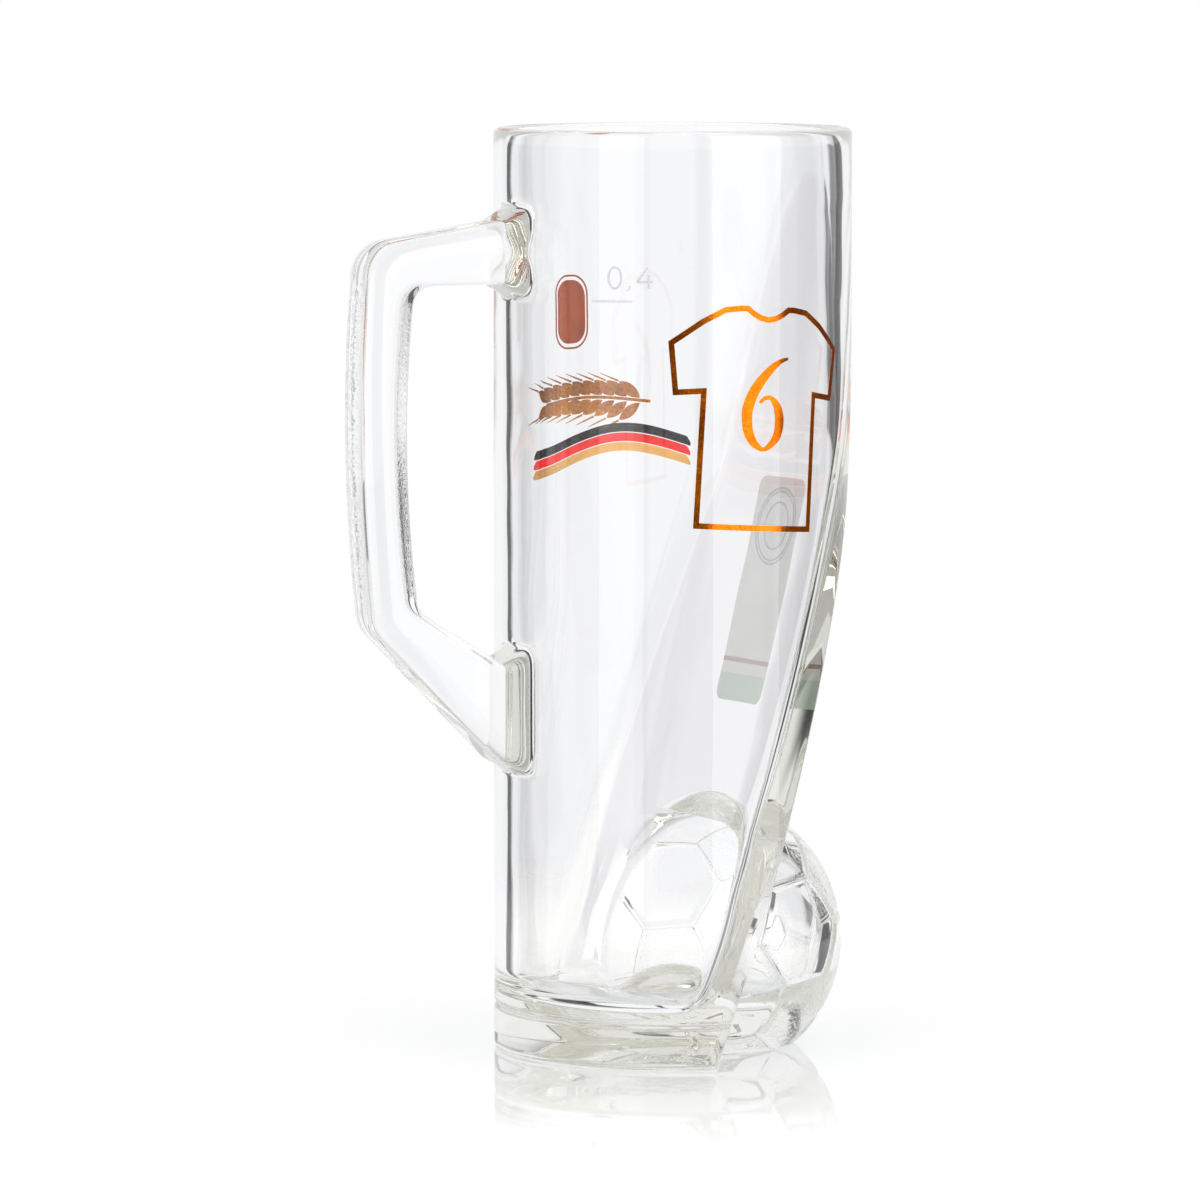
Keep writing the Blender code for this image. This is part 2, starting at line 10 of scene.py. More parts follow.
import bpy
import numpy as np
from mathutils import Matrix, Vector


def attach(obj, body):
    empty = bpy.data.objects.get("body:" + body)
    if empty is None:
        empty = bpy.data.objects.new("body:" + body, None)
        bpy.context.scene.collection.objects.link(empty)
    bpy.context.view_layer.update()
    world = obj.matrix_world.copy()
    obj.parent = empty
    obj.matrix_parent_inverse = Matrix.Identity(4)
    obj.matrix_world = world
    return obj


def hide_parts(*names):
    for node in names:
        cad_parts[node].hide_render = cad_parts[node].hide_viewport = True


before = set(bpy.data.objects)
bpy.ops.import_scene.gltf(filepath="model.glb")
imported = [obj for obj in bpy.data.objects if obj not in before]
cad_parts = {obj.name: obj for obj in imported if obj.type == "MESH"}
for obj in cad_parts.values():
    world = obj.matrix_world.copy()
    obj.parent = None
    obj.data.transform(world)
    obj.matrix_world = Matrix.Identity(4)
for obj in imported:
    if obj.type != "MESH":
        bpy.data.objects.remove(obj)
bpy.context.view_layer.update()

# Sizes of the part
RADIUS = 0.038
HEIGHT = 0.196
WALL = 0.0035
LIP_FLAT = 0.0006
FLOOR = 0.011
FLOOR_FILLET = 0.006
DOME_RADIUS = 0.0125
DOME_HEIGHT = 0.0065
DOME_BLEND = 0.002
FOOT_HEIGHT = 0.0095
FOOT_EDGE = 0.0012
GROOVE_WIDTH = 0.0018
GROOVE_DEPTH = 0.0009
RECESS_DEPTH = 0.0008
RECESS_MARGIN = 0.006
RECESS_START = 0.6 * RECESS_MARGIN
FACET_APEX_HEIGHT = 0.1905
FACET_BEND_HEIGHT = 0.115
FACET_UPPER_SLOPE = math.tan(math.radians(7.7))
FACET_LOWER_SLOPE = math.tan(math.radians(17.7))
FACET_BEND_BLEND = 0.0022
FACET_CROWN_RADIUS = 0.11
FACET_UPPER_WALL = 0.0036
FACET_LOWER_WALL = 0.0058
FACET_EDGE_ROUND = 0.0008
FOOT_END_ROUND = 0.0026
FOOT_END_SPAN = (0.01, 0.03)
# Painted shade: how far in from the round wall the facet's grey tint sets in
PAINTED_SHADE_INWARD = (0.0002, 0.0006)
INNER_EDGE_ROUND = 0.005
BALL_RADIUS = 0.0305
BALL_X = 0.0066
BALL_HEIGHT = 0.0228
BALL_CENTRE = (BALL_X, 0, BALL_HEIGHT)
BALL_WALL = 0.0045
BALL_TURN = math.radians(-51.65)
BALL_PITCH = math.radians(-1.71)
BALL_LEAN = math.radians(24.68)
BALL_BLEND = 0.0022
POCKET_BLEND = 0.016
SEAM_HALF_WIDTH = 0.0007
SEAM_DEPTH = 0.0005

# Handle
HANDLE_REACH = 0.0745
HANDLE_LOWER_REACH = 0.0735
HANDLE_BOW = 0.00175
HANDLE_HALF_WIDTH = 0.0055
GRIP_DEPTH = 0.0098
UPPER_ARM_TOP = 0.1782
UPPER_ARM_CORNER = 0.1724
UPPER_ARM_UNDER = 0.1638
LOWER_ARM_CORNER = 0.0929
LOWER_ARM_INNER_CORNER = 0.0965
LOWER_ARM_TOP = 0.0785
LOWER_ARM_BOTTOM = 0.0545
ARM_ROOT = -0.034
OUTER_CORNER_RADIUS = 0.008
INNER_CORNER_RADIUS = 0.005
BAR_EDGE = 0.0012
BAR_OUTER_SOFT = 0.005
BAR_INNER_SOFT = 0.0012
NECK_X = -0.0434
PAD_HALF_WIDTH = 0.0065
PAD_FLARE = 0.0028
PAD_FILLET = 0.0013
PAD_CORNER = 0.003
PAD_STEPS = (
    (0.0003, 0.00004, 1.0), (0.0007, 0.0002, 1.0), (0.001, 0.0005, 0.9), (0.0012, 0.0009, 0.7),
)
UPPER_WAIST = 0.0018
WAIST_SPAN = 0.3
STIPPLE_START = (0.098, 0.101)
STIPPLE_END = (0.158, 0.162)
STIPPLE_REACH = -0.055
FINGER_UP = -0.9
FINGER_ACROSS = 0.95

# Grid of the glass. The centres are heights of rows, and the x of the point that they turn about.
BALL_CELLS = 68
FACET_CELLS = 8
BACK_CELLS = 40
EDGE_STEPS = np.array([0.25, 0.6, 1.1])
HALF_COLUMNS = BALL_CELLS + FACET_CELLS + BACK_CELLS + 4 * len(EDGE_STEPS)
PAD_COLUMNS = 12
PAD_ROWS = 16
CUT_EDGE_LEAST = math.radians(14)
BALL_EDGE_LEAST = 0.4
BALL_EDGE_GAP = math.radians(4)
BALL_EDGE_ROUNDS = 4
LEAN_LIMIT = 1.5
BLEND_LIMITS = (0.15, 14)
OUTSIDE_CENTRES = (
    (0, 0.015, 0.03, 0.04, 0.047, 0.051, 0.0532, 0.057, 0.0585),
    (-0.0112, -0.0118, -0.0108, -0.0075, -0.0028, 0.0012, 0.0046, 0.0012, 0),
)
INSIDE_CENTRES = (
    (0.011, 0.017, 0.0235, 0.03, 0.036, 0.042, 0.045, 0.047, 0.0485, 0.052, 0.058),
    (-0.0138, -0.014, -0.0134, -0.012, -0.0098, -0.0066, -0.004, -0.002, 0, 0.0008, 0),
)
FOOT_EDGE_STEPS = 4
PLINTH_ROWS = 15
GROOVE_ROWS = 9
BALL_ROWS = 90
BALL_ROWS_TOP = 0.0555
GRIP_ROWS = 24
SHORT_ROWS = 5
FILLET_STEPS = 6
POCKET_ROWS = ((0.052, 36), (0.0488, 8), (0.046, 10), (FLOOR + FLOOR_FILLET, 36))
LIP_STEPS = 10
FLOOR_RINGS = 24
FLOOR_CROWD = 0.85
UNDER_RINGS = 15
UNDER_CROWD = 0.8
CORNER_STEPS = 12
GRIP_STEPS = 24
ARM_SHARES = np.array([0, 0.015, 0.06, 0.2, 0.4, 0.6, 0.8])[:, None]
NECK_SHARES = (0.04, 0.2, 0.4, 0.6, 0.8, 0.96)
LOOP_CROWD = 0.6
FAR = 10.0
SMALL = 1e-9

BEND_X = RADIUS - FACET_UPPER_SLOPE * (FACET_APEX_HEIGHT - FACET_BEND_HEIGHT)


def smooth_min(a, b, width):
    """The lower of two values, with the crossing rounded off over a width."""
    near = np.clip(width - np.abs(a - b), 0.0, None) / width
    return np.minimum(a, b) - near * near * width / 4


def smooth_max(a, b, width):
    """The higher of two values, with the crossing rounded off over a width."""
    return -smooth_min(-a, -b, width)


def smooth_step(value, low, high):
    """Rises from 0 at low to 1 at high along a cubic."""
    share = np.clip((value - low) / (high - low), 0.0, 1.0)
    return share * share * (3 - 2 * share)


def unit(vectors):
    """Vectors along the last axis, drawn to length 1."""
    return vectors / np.linalg.norm(vectors, axis=-1, keepdims=True)


def facet_plane(height, upper_wall=0.0, lower_wall=0.0):
    """How far out the facet stands at a height: the lower of two slanted lines, the bend rounded."""
    upper = BEND_X + FACET_UPPER_SLOPE * (height - FACET_BEND_HEIGHT)
    lower = BEND_X + FACET_LOWER_SLOPE * (height - FACET_BEND_HEIGHT)
    upper = upper - upper_wall * math.hypot(1, FACET_UPPER_SLOPE)
    lower = lower - lower_wall * math.hypot(1, FACET_LOWER_SLOPE)
    return smooth_min(upper, lower, FACET_BEND_BLEND)


def facet_crest(height, upper_wall=0.0, lower_wall=0.0):
    """How far out the facet's middle stands at a height: it swells over the line between its edges
    as a parabola does, whose radius at its crest is the crown's."""
    edge_x = facet_plane(height)
    swell = np.maximum(RADIUS**2 - edge_x**2, 0) / (2 * FACET_CROWN_RADIUS)
    return facet_plane(height, upper_wall, lower_wall) + swell


def facet_edge(radius, crest):
    """Where the facet's parabola meets a circle about the axis, as x and y."""
    root = FACET_CROWN_RADIUS**2 - 2 * FACET_CROWN_RADIUS * crest + radius**2
    edge_x = FACET_CROWN_RADIUS - np.sqrt(np.maximum(root, 0))
    return edge_x, np.sqrt(np.maximum(radius**2 - edge_x**2, 0))


def ball_slice(height, radius):
    """The radius of a level slice of a sphere about the football's centre, 0 outside it."""
    return np.sqrt(np.maximum(radius**2 - (height - BALL_HEIGHT) ** 2, 0.0))


def section(angle, centre, radius, crest, ball, ball_x, edge_blend, ball_blend):
    """Distances from a centre on the X axis out to a level section, for rows by columns.

    The section is a circle cut by the facet's parabola, joined to the football's slice: along each
    direction the lower of the circle's and the parabola's distance, then the higher of that and the
    slice's, with both crossings rounded. Also returns how far the slice stands out of the rest.
    """
    cos, sin = np.cos(angle), np.sin(angle)
    centre, radius, crest, ball, ball_x, edge_blend = (
        v[:, None] for v in (centre, radius, crest, ball, ball_x, edge_blend)
    )
    to_circle = -centre * cos + np.sqrt(radius**2 - (centre * sin) ** 2)
    bend = cos + np.sqrt(cos**2 + 2 * sin**2 * (crest - centre) / FACET_CROWN_RADIUS)
    to_facet = np.minimum(2 * (crest - centre) / np.maximum(bend, SMALL), FAR)
    aside = ball_x - centre
    to_ball = aside * cos + np.sqrt(np.maximum(ball**2 - (aside * sin) ** 2, 0.0))
    to_ball = np.where(ball > 0, to_ball, -FAR)
    cut = smooth_min(to_circle, to_facet, edge_blend)
    return smooth_max(cut, to_ball, ball_blend), to_ball - cut


def panel_frame():
    """Three directions that turn the football: along one edge of its icosahedron, out through that
    edge's middle, and across both."""
    side = np.array([-math.sin(BALL_TURN), math.cos(BALL_TURN), 0])
    level = np.array([math.cos(BALL_TURN), math.sin(BALL_TURN), 0])
    front = level * math.cos(BALL_PITCH) + np.array([0, 0, math.sin(BALL_PITCH)])
    upright = side * math.sin(BALL_LEAN) + np.cross(front, side) * math.cos(BALL_LEAN)
    return np.stack([upright, front, np.cross(upright, front)])


def signed_turns(a, b):
    """(0, a, b) with all its signs, and with its numbers moved on by one place and by two."""
    signed = np.array([(0, i * a, j * b) for i in (-1, 1) for j in (-1, 1)])
    return np.concatenate([np.roll(signed, places, axis=1) for places in range(3)])


def panel_gauge():
    """Face normals of a football, each divided by its face's distance from the centre.

    In the panels' frame the five-sided faces lie across the corners of an icosahedron, and the
    six-sided ones across those of a dodecahedron. They meet a third of the way along the edges of
    the icosahedron, one of which joins its corners 0 and 2 here.
    """
    golden = (1 + math.sqrt(5)) / 2
    cube = [(i, j, k) for i in (-1, 1) for j in (-1, 1) for k in (-1, 1)]
    five_sided = unit(signed_turns(1, golden))
    six_sided = unit(np.concatenate([cube, signed_turns(golden, 1 / golden)]))
    meeting = (2 * five_sided[0] + five_sided[2]) / 3
    distances = [np.max(faces @ meeting) for faces in (five_sided, six_sided)]
    gauge = np.concatenate([five_sided / distances[0], six_sided / distances[1]])
    return gauge @ panel_frame()


def football(points):
    """The distance to the nearest seam for points round the football. A panel is where its face's
    plane is met first, and a seam is where two are met together."""
    ways = unit(points - np.array(BALL_CENTRE)).reshape(-1, 3)
    gauge = panel_gauge()
    met = ways @ gauge.T
    order = np.argsort(-met, axis=1)[:, :2]
    first, second = np.take_along_axis(met, order, 1).T
    apart = np.linalg.norm(gauge[order[:, 0]] - gauge[order[:, 1]], axis=1)
    distance = BALL_RADIUS * (first - second) / apart
    return distance.reshape(points.shape[:-1])


def cluster(start, end, count, before, after):
    """Even directions from start to end, with a few close ones held by both ends."""
    inner = np.linspace(0, 1, count + 1)[None, :]
    first, last = start + before[-1], end - after[-1]
    spread = first[:, None] + (last - first)[:, None] * inner
    near_start = start[:, None] + before[None, :-1]
    near_end = end[:, None] - after[None, -2::-1]
    return np.concatenate([near_start, spread, near_end], axis=1)


def column_angles(centre, radius, crest, ball, ball_x):
    """Directions of the columns in each row, seen from that row's centre: one column runs along the
    football's edge on the facet and one along the facet's edge, with close ones beside both, and the
    last ones fall evenly on the handle's pads."""
    pad_edge = math.pi - math.asin((PAD_HALF_WIDTH + PAD_FILLET) / RADIUS)
    edge_x, edge_y = facet_edge(radius, crest)
    cut_edge = np.maximum(np.arctan2(edge_y, edge_x - centre), CUT_EDGE_LEAST)
    ball_edge_x = crest
    for _ in range(BALL_EDGE_ROUNDS):
        ball_y = np.sqrt(np.maximum(ball**2 - (ball_edge_x - ball_x) ** 2, 0))
        ball_edge_x = crest - ball_y**2 / (2 * FACET_CROWN_RADIUS)
    ball_edge = np.arctan2(ball_y, ball_edge_x - centre)
    ball_edge = np.clip(ball_edge, BALL_EDGE_LEAST * cut_edge, cut_edge - BALL_EDGE_GAP)
    close = np.radians(EDGE_STEPS)
    none = np.zeros(1)
    half = np.concatenate([
        cluster(np.zeros_like(ball_edge), ball_edge, BALL_CELLS, none, close),
        ball_edge[:, None],
        cluster(ball_edge, cut_edge, FACET_CELLS, close, close),
        cut_edge[:, None],
        cluster(cut_edge, np.full_like(cut_edge, pad_edge), BACK_CELLS, close, none),
    ], axis=1)
    pad = np.linspace(pad_edge, 2 * math.pi - pad_edge, PAD_COLUMNS + 1)[1:-1]
    pads = np.broadcast_to(pad, (len(centre), len(pad)))
    return np.concatenate([half, pads, 2 * math.pi - half[:, :0:-1]], axis=1)


def runs(*parts):
    """Heights in runs of even steps: each part is an end and a number of steps from the last end."""
    made = [np.array([parts[0]])]
    for end, steps in parts[1:]:
        made.append(np.linspace(made[-1][-1], end, steps + 1)[1:])
    return np.concatenate(made)


def pad_span(outer, inner):
    """The lowest and highest point of a pad on the wall, its fillet included."""
    low, high = min(outer, inner), max(outer, inner)
    return low - PAD_FLARE - PAD_FILLET, high + PAD_FLARE + PAD_FILLET


def line_at(start, end, x):
    """Where a straight run between two (x, z) points is at an x."""
    return start[1] + (end[1] - start[1]) * (x - start[0]) / (end[0] - start[0])


OUTER_TURNS = np.array([
    (ARM_ROOT, UPPER_ARM_TOP), (-HANDLE_REACH, UPPER_ARM_CORNER),
    (-HANDLE_LOWER_REACH, LOWER_ARM_CORNER), (ARM_ROOT, LOWER_ARM_BOTTOM),
])
INNER_TURNS = np.array([
    (ARM_ROOT, UPPER_ARM_UNDER), (-HANDLE_REACH + GRIP_DEPTH, UPPER_ARM_UNDER),
    (-HANDLE_LOWER_REACH + GRIP_DEPTH, LOWER_ARM_INNER_CORNER), (ARM_ROOT, LOWER_ARM_TOP),
])
UPPER_NECK = [line_at(turns[0], turns[1], NECK_X) for turns in (OUTER_TURNS, INNER_TURNS)]
LOWER_NECK = [line_at(turns[3], turns[2], NECK_X) for turns in (OUTER_TURNS, INNER_TURNS)]
UPPER_PAD = pad_span(*UPPER_NECK)
LOWER_PAD = pad_span(*LOWER_NECK)
LIP = (WALL - LIP_FLAT) / 2


def edge_blend(centre, radius, crest, width):
    """How much smoothing rounds the facet's edge over an even width: the width times the slope at
    which the facet and the circle part there, seen from the centre."""
    x, y = facet_edge(radius, crest)
    way = np.arctan2(y, x - centre)
    lean = np.tan(np.clip(way - np.arctan(y / FACET_CROWN_RADIUS), -LEAN_LIMIT, LEAN_LIMIT))
    return width * np.clip(lean - np.tan(way - np.arctan2(y, x)), *BLEND_LIMITS)


def level_rows(centre, height, inset, shape, edge_width, ball_blend):
    """Rows of points round level sections at given heights, drawn in by an inset."""
    radius, crest, ball, ball_x = shape
    angle = column_angles(centre, radius, crest, ball, ball_x)
    blend = edge_blend(centre, radius, crest, edge_width)
    out, proud = section(angle, centre, radius, crest, ball, ball_x, blend, ball_blend)
    out = out - inset[:, None]
    points = np.stack([
        centre[:, None] + out * np.cos(angle), out * np.sin(angle),
        np.broadcast_to(height[:, None], out.shape),
    ], axis=-1)
    return points, proud


def outside_rows():
    """The outside as rows by columns: foot edge, plinth, groove, wall and football.

    The groove is a squared cosine across its width, and a seam sinks along a bell curve of the
    distance to it. Also returns the rows' heights and masks of the football and of the facet.
    """
    turn = np.linspace(0, math.pi / 2, FOOT_EDGE_STEPS + 1)
    edge = FOOT_EDGE * (1 - np.cos(turn))
    groove_low, groove_high = FOOT_HEIGHT - GROOVE_WIDTH / 2, FOOT_HEIGHT + GROOVE_WIDTH / 2
    rest = runs(
        FOOT_EDGE, (groove_low, PLINTH_ROWS), (groove_high, GROOVE_ROWS), (BALL_ROWS_TOP, BALL_ROWS),
        (LOWER_PAD[0], SHORT_ROWS), (LOWER_PAD[1], PAD_ROWS), (UPPER_PAD[0], GRIP_ROWS),
        (UPPER_PAD[1], PAD_ROWS), (HEIGHT - LIP, SHORT_ROWS),
    )
    height = np.concatenate([edge, rest[1:]])
    inset = np.concatenate([FOOT_EDGE * (1 - np.sin(turn)), np.zeros(len(rest) - 1)])
    across = np.clip((height - FOOT_HEIGHT) / (GROOVE_WIDTH / 2), -1, 1)
    groove = GROOVE_DEPTH * np.cos(across * math.pi / 2) ** 2
    centre = np.interp(height, *OUTSIDE_CENTRES)
    ball_x = np.full(len(height), BALL_X)
    shape = RADIUS - groove, facet_crest(height), ball_slice(height, BALL_RADIUS), ball_x
    low = 1 - smooth_step(height, *FOOT_END_SPAN)
    edge_round = FACET_EDGE_ROUND + (FOOT_END_ROUND - FACET_EDGE_ROUND) * low
    points, proud = level_rows(centre, height, inset, shape, edge_round, BALL_BLEND)
    on_ball = np.clip(proud / BALL_BLEND, 0, 1) * (height < BALL_HEIGHT + BALL_RADIUS)[:, None]
    distance = football(points)
    depth = SEAM_DEPTH * np.exp(-((distance / SEAM_HALF_WIDTH) ** 2)) * on_ball
    level = (points - np.array(BALL_CENTRE)) * np.array([1, 1, 0])
    points -= depth[..., None] * unit(level)
    inward = RADIUS - np.linalg.norm(points[..., :2], axis=-1)
    # A mask of the facet for its painted shade, a grey tint that darkens it
    above_foot = smooth_step(height, FOOT_HEIGHT, FOOT_HEIGHT + GROOVE_WIDTH)[:, None]
    painted_shade_mask = smooth_step(inward, *PAINTED_SHADE_INWARD) * (1 - on_ball) * above_foot
    return points, height, on_ball, painted_shade_mask


def inside_rows():
    """The inside from the lip down to the edge of the floor: wall, facet, pocket and floor fillet."""
    turn = np.linspace(math.pi / 2, 0, FILLET_STEPS + 1)[1:]
    wall = runs(HEIGHT - LIP, *POCKET_ROWS)
    height = np.concatenate([wall, FLOOR + FLOOR_FILLET * (1 - np.cos(turn))])
    inset = np.concatenate([np.zeros(len(wall)), FLOOR_FILLET * (1 - np.sin(turn))])
    centre = np.interp(height, *INSIDE_CENTRES)
    crest = facet_crest(height, FACET_UPPER_WALL, FACET_LOWER_WALL)
    pocket = ball_slice(height, BALL_RADIUS - BALL_WALL)
    shape = np.full(len(height), RADIUS - WALL), crest, pocket, np.full(len(height), BALL_X)
    points, _ = level_rows(centre, height, inset, shape, INNER_EDGE_ROUND, POCKET_BLEND)
    return points, centre[-1]


def lip_rows(outer, inner):
    """Rows over the lip, from the top row outside to the top row inside, on a half round."""
    turn = np.linspace(0, math.pi, LIP_STEPS + 1)[1:-1]
    share = (1 - np.cos(turn)) / 2
    rows = outer[None] + (inner - outer)[None] * share[:, None, None]
    rows[..., 2] = HEIGHT - LIP + LIP * np.sin(turn)[:, None]
    return rows


def rings_between(pole, rim, count, crowd):
    """Rings of points from a pole out to a rim, both left out, set closer to one end by a power."""
    share = np.linspace(0, 1, count + 1)[1:-1] ** crowd
    return pole + (rim - pole)[None] * share[:, None, None]


def floor_rows(rim, centre_x):
    """Rings from the edge of the floor in to its pole, over a round dome on the mug's axis."""
    pole = np.array([centre_x, 0, FLOOR])
    rings = rings_between(pole, rim, FLOOR_RINGS, FLOOR_CROWD)[::-1]
    sphere = (DOME_RADIUS**2 + DOME_HEIGHT**2) / (2 * DOME_HEIGHT)
    away = np.hypot(rings[..., 0], rings[..., 1])
    dome = np.sqrt(np.maximum(sphere**2 - away**2, 0)) - (sphere - DOME_HEIGHT)
    rings[..., 2] = FLOOR + smooth_max(dome, np.zeros_like(dome), DOME_BLEND)
    return rings, pole


def under_rows(rim):
    """Rings under the foot from a pole out to the foot's edge, sunk by a shallow recess."""
    pole = np.array([OUTSIDE_CENTRES[1][0], 0, RECESS_DEPTH])
    rings = rings_between(pole, rim, UNDER_RINGS, UNDER_CROWD)
    away = np.hypot(rings[..., 0], rings[..., 1])
    front = facet_crest(0.0) - rings[..., 1] ** 2 / (2 * FACET_CROWN_RADIUS)
    margin = np.minimum(RADIUS - away, front - rings[..., 0])
    rings[..., 2] = RECESS_DEPTH * smooth_step(margin, RECESS_START, RECESS_MARGIN)
    return rings, pole


def rounded(turns, i, radius, steps):
    """The i-th corner of a polyline rounded by an arc: points at even turns about its centre."""
    corner = turns[i]
    back, ahead = unit(turns[i - 1] - corner), unit(turns[i + 1] - corner)
    half = math.acos(np.clip(back @ ahead, -1, 1)) / 2
    centre = corner + unit(back + ahead) * radius / math.sin(half)
    first = corner + back * radius / math.tan(half) - centre
    last = corner + ahead * radius / math.tan(half) - centre
    sweep = math.pi - 2 * half
    share = np.linspace(0, 1, steps + 1)[:, None]
    weights = np.sin((1 - share) * sweep) / math.sin(sweep), np.sin(share * sweep) / math.sin(sweep)
    return centre + weights[0] * first + weights[1] * last


def handle_rail(turns, radius):
    """One edge of the bar in the XZ plane: arm, round corner, bowed grip, round corner, arm."""
    upper = rounded(turns, 1, radius, CORNER_STEPS)
    lower = rounded(turns, 2, radius, CORNER_STEPS)
    upper_neck = np.array([NECK_X, line_at(turns[0], turns[1], NECK_X)])
    lower_neck = np.array([NECK_X, line_at(turns[3], turns[2], NECK_X)])
    share = np.linspace(0, 1, GRIP_STEPS + 1)[1:-1, None]
    grip = upper[-1] + (lower[0] - upper[-1]) * share
    grip[:, 0] -= HANDLE_BOW * 4 * share[:, 0] * (1 - share[:, 0])
    first = upper_neck + (upper[0] - upper_neck) * ARM_SHARES
    last = lower_neck + (lower[-1] - lower_neck) * ARM_SHARES[::-1]
    return np.concatenate([first, upper, grip, lower, last])


def square_loop():
    """Points round a square from -1 to 1: top, right, bottom and left, without repeats. A sine sets
    them closer to the corners."""
    wide = np.linspace(-1, 1, PAD_COLUMNS + 1)[:-1]
    tall = np.linspace(1, -1, PAD_ROWS + 1)[:-1]
    wide, tall = (
        np.sin(side * math.pi / 2) * LOOP_CROWD + side * (1 - LOOP_CROWD) for side in (wide, tall)
    )
    one_wide, one_tall = np.ones(PAD_COLUMNS), np.ones(PAD_ROWS)
    across = np.concatenate([wide, one_tall, -wide, -one_tall])
    up = np.concatenate([one_wide, tall, -one_wide, -tall])
    return across, up


def rounded_loop(half_width, half_height, edge):
    """The square loop stretched to a rectangle whose corners are pulled onto arcs."""
    across, up = square_loop()
    place = np.stack([across * half_width, up * half_height], 1)
    room = np.array([half_width - edge, half_height - edge])
    core = np.clip(place, -room, room)
    off = place - core
    return core + off / np.maximum(np.linalg.norm(off, axis=1), SMALL)[:, None] * edge


def soft_normals(loop, half_width, half_height):
    """Normals of a rectangle with much rounder outer edges than the loop has, as (across, up): from
    the nearest point of a smaller rectangle inside it."""
    soft = np.where(loop[:, 1] > 0, BAR_OUTER_SOFT, BAR_INNER_SOFT)
    room = np.stack([half_width - soft, half_height - soft], 1)
    off = loop - np.clip(loop, -room, room)
    return unit(off)


def pad_loops(span, sign, waist):
    """Loops of a pad from just off the wall up to its rim; sign is 1 where up the loop is up in Z.

    Each loop is a rounded rectangle on a cylinder that stands off the wall by a lift, drawn in from
    the fillet's foot by an inset. A waist draws the lower loops in at half height.
    """
    middle, half_height = (span[0] + span[1]) / 2, (span[1] - span[0]) / 2
    half_width = PAD_HALF_WIDTH + PAD_FILLET
    loops = []
    for inset, lift, pinch in PAD_STEPS:
        loop = rounded_loop(half_width - inset, half_height - inset, PAD_CORNER)
        drawn = waist * pinch * np.exp(-((loop[:, 1] / (WAIST_SPAN * half_height)) ** 2))
        across = np.sign(loop[:, 0]) * np.maximum(np.abs(loop[:, 0]) - drawn, 0)
        out = -np.sqrt((RADIUS + lift) ** 2 - across**2)
        loops.append(np.stack([out, across, middle + sign * loop[:, 1]], 1))
    return loops


def handle_loops():
    """Loops of the handle from the upper pad along the bar to the lower pad, with the bar's normals.

    The pads' normals are left at zero, so that they follow from the mesh.
    """
    outer = handle_rail(OUTER_TURNS, OUTER_CORNER_RADIUS)
    inner = handle_rail(INNER_TURNS, INNER_CORNER_RADIUS)
    bar, leans = [], []
    for out_point, in_point in zip(outer, inner):
        middle, reach = (out_point + in_point) / 2, (out_point - in_point) / 2
        half_height = np.linalg.norm(reach)
        up = reach / half_height
        loop = rounded_loop(HANDLE_HALF_WIDTH, half_height, BAR_EDGE)
        lean = soft_normals(loop, HANDLE_HALF_WIDTH, half_height)
        place = middle + loop[:, 1:] * up
        bar.append(np.stack([place[:, 0], loop[:, 0], place[:, 1]], 1))
        leans.append(np.stack([lean[:, 1] * up[0], lean[:, 0], lean[:, 1] * up[1]], 1))
    upper = pad_loops(UPPER_PAD, 1, UPPER_WAIST)
    lower = pad_loops(LOWER_PAD, -1, 0.0)[::-1]
    upper += [upper[-1] + (bar[0] - upper[-1]) * share for share in NECK_SHARES]
    lower = [bar[-1] + (lower[0] - bar[-1]) * share for share in NECK_SHARES] + lower
    loops = np.array(upper + bar + lower)
    normals = np.zeros_like(loops)
    normals[len(upper):len(upper) + len(bar)] = leans
    return loops, normals


def grid_quads(rows, columns):
    """Corner numbers of the faces of a grid whose columns close round, facing out where rows rise."""
    row, column = np.meshgrid(np.arange(rows - 1), np.arange(columns), indexing="ij")
    after = (column + 1) % columns
    low, high = row * columns, (row + 1) * columns
    quads = [low + column, low + after, high + after, high + column]
    return np.stack(quads, -1)


def add_mesh(name, points, faces, smooth=True):
    """A mesh object from arrays, riding on the part's one body."""
    mesh = bpy.data.meshes.new(name)
    mesh.from_pydata(points.tolist(), [], [list(face) for part in faces for face in part.tolist()])
    mesh.update()
    if smooth:
        mesh.shade_smooth()
    made = bpy.data.objects.new(name, mesh)
    bpy.context.collection.objects.link(made)
    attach(made, "root")
    return made


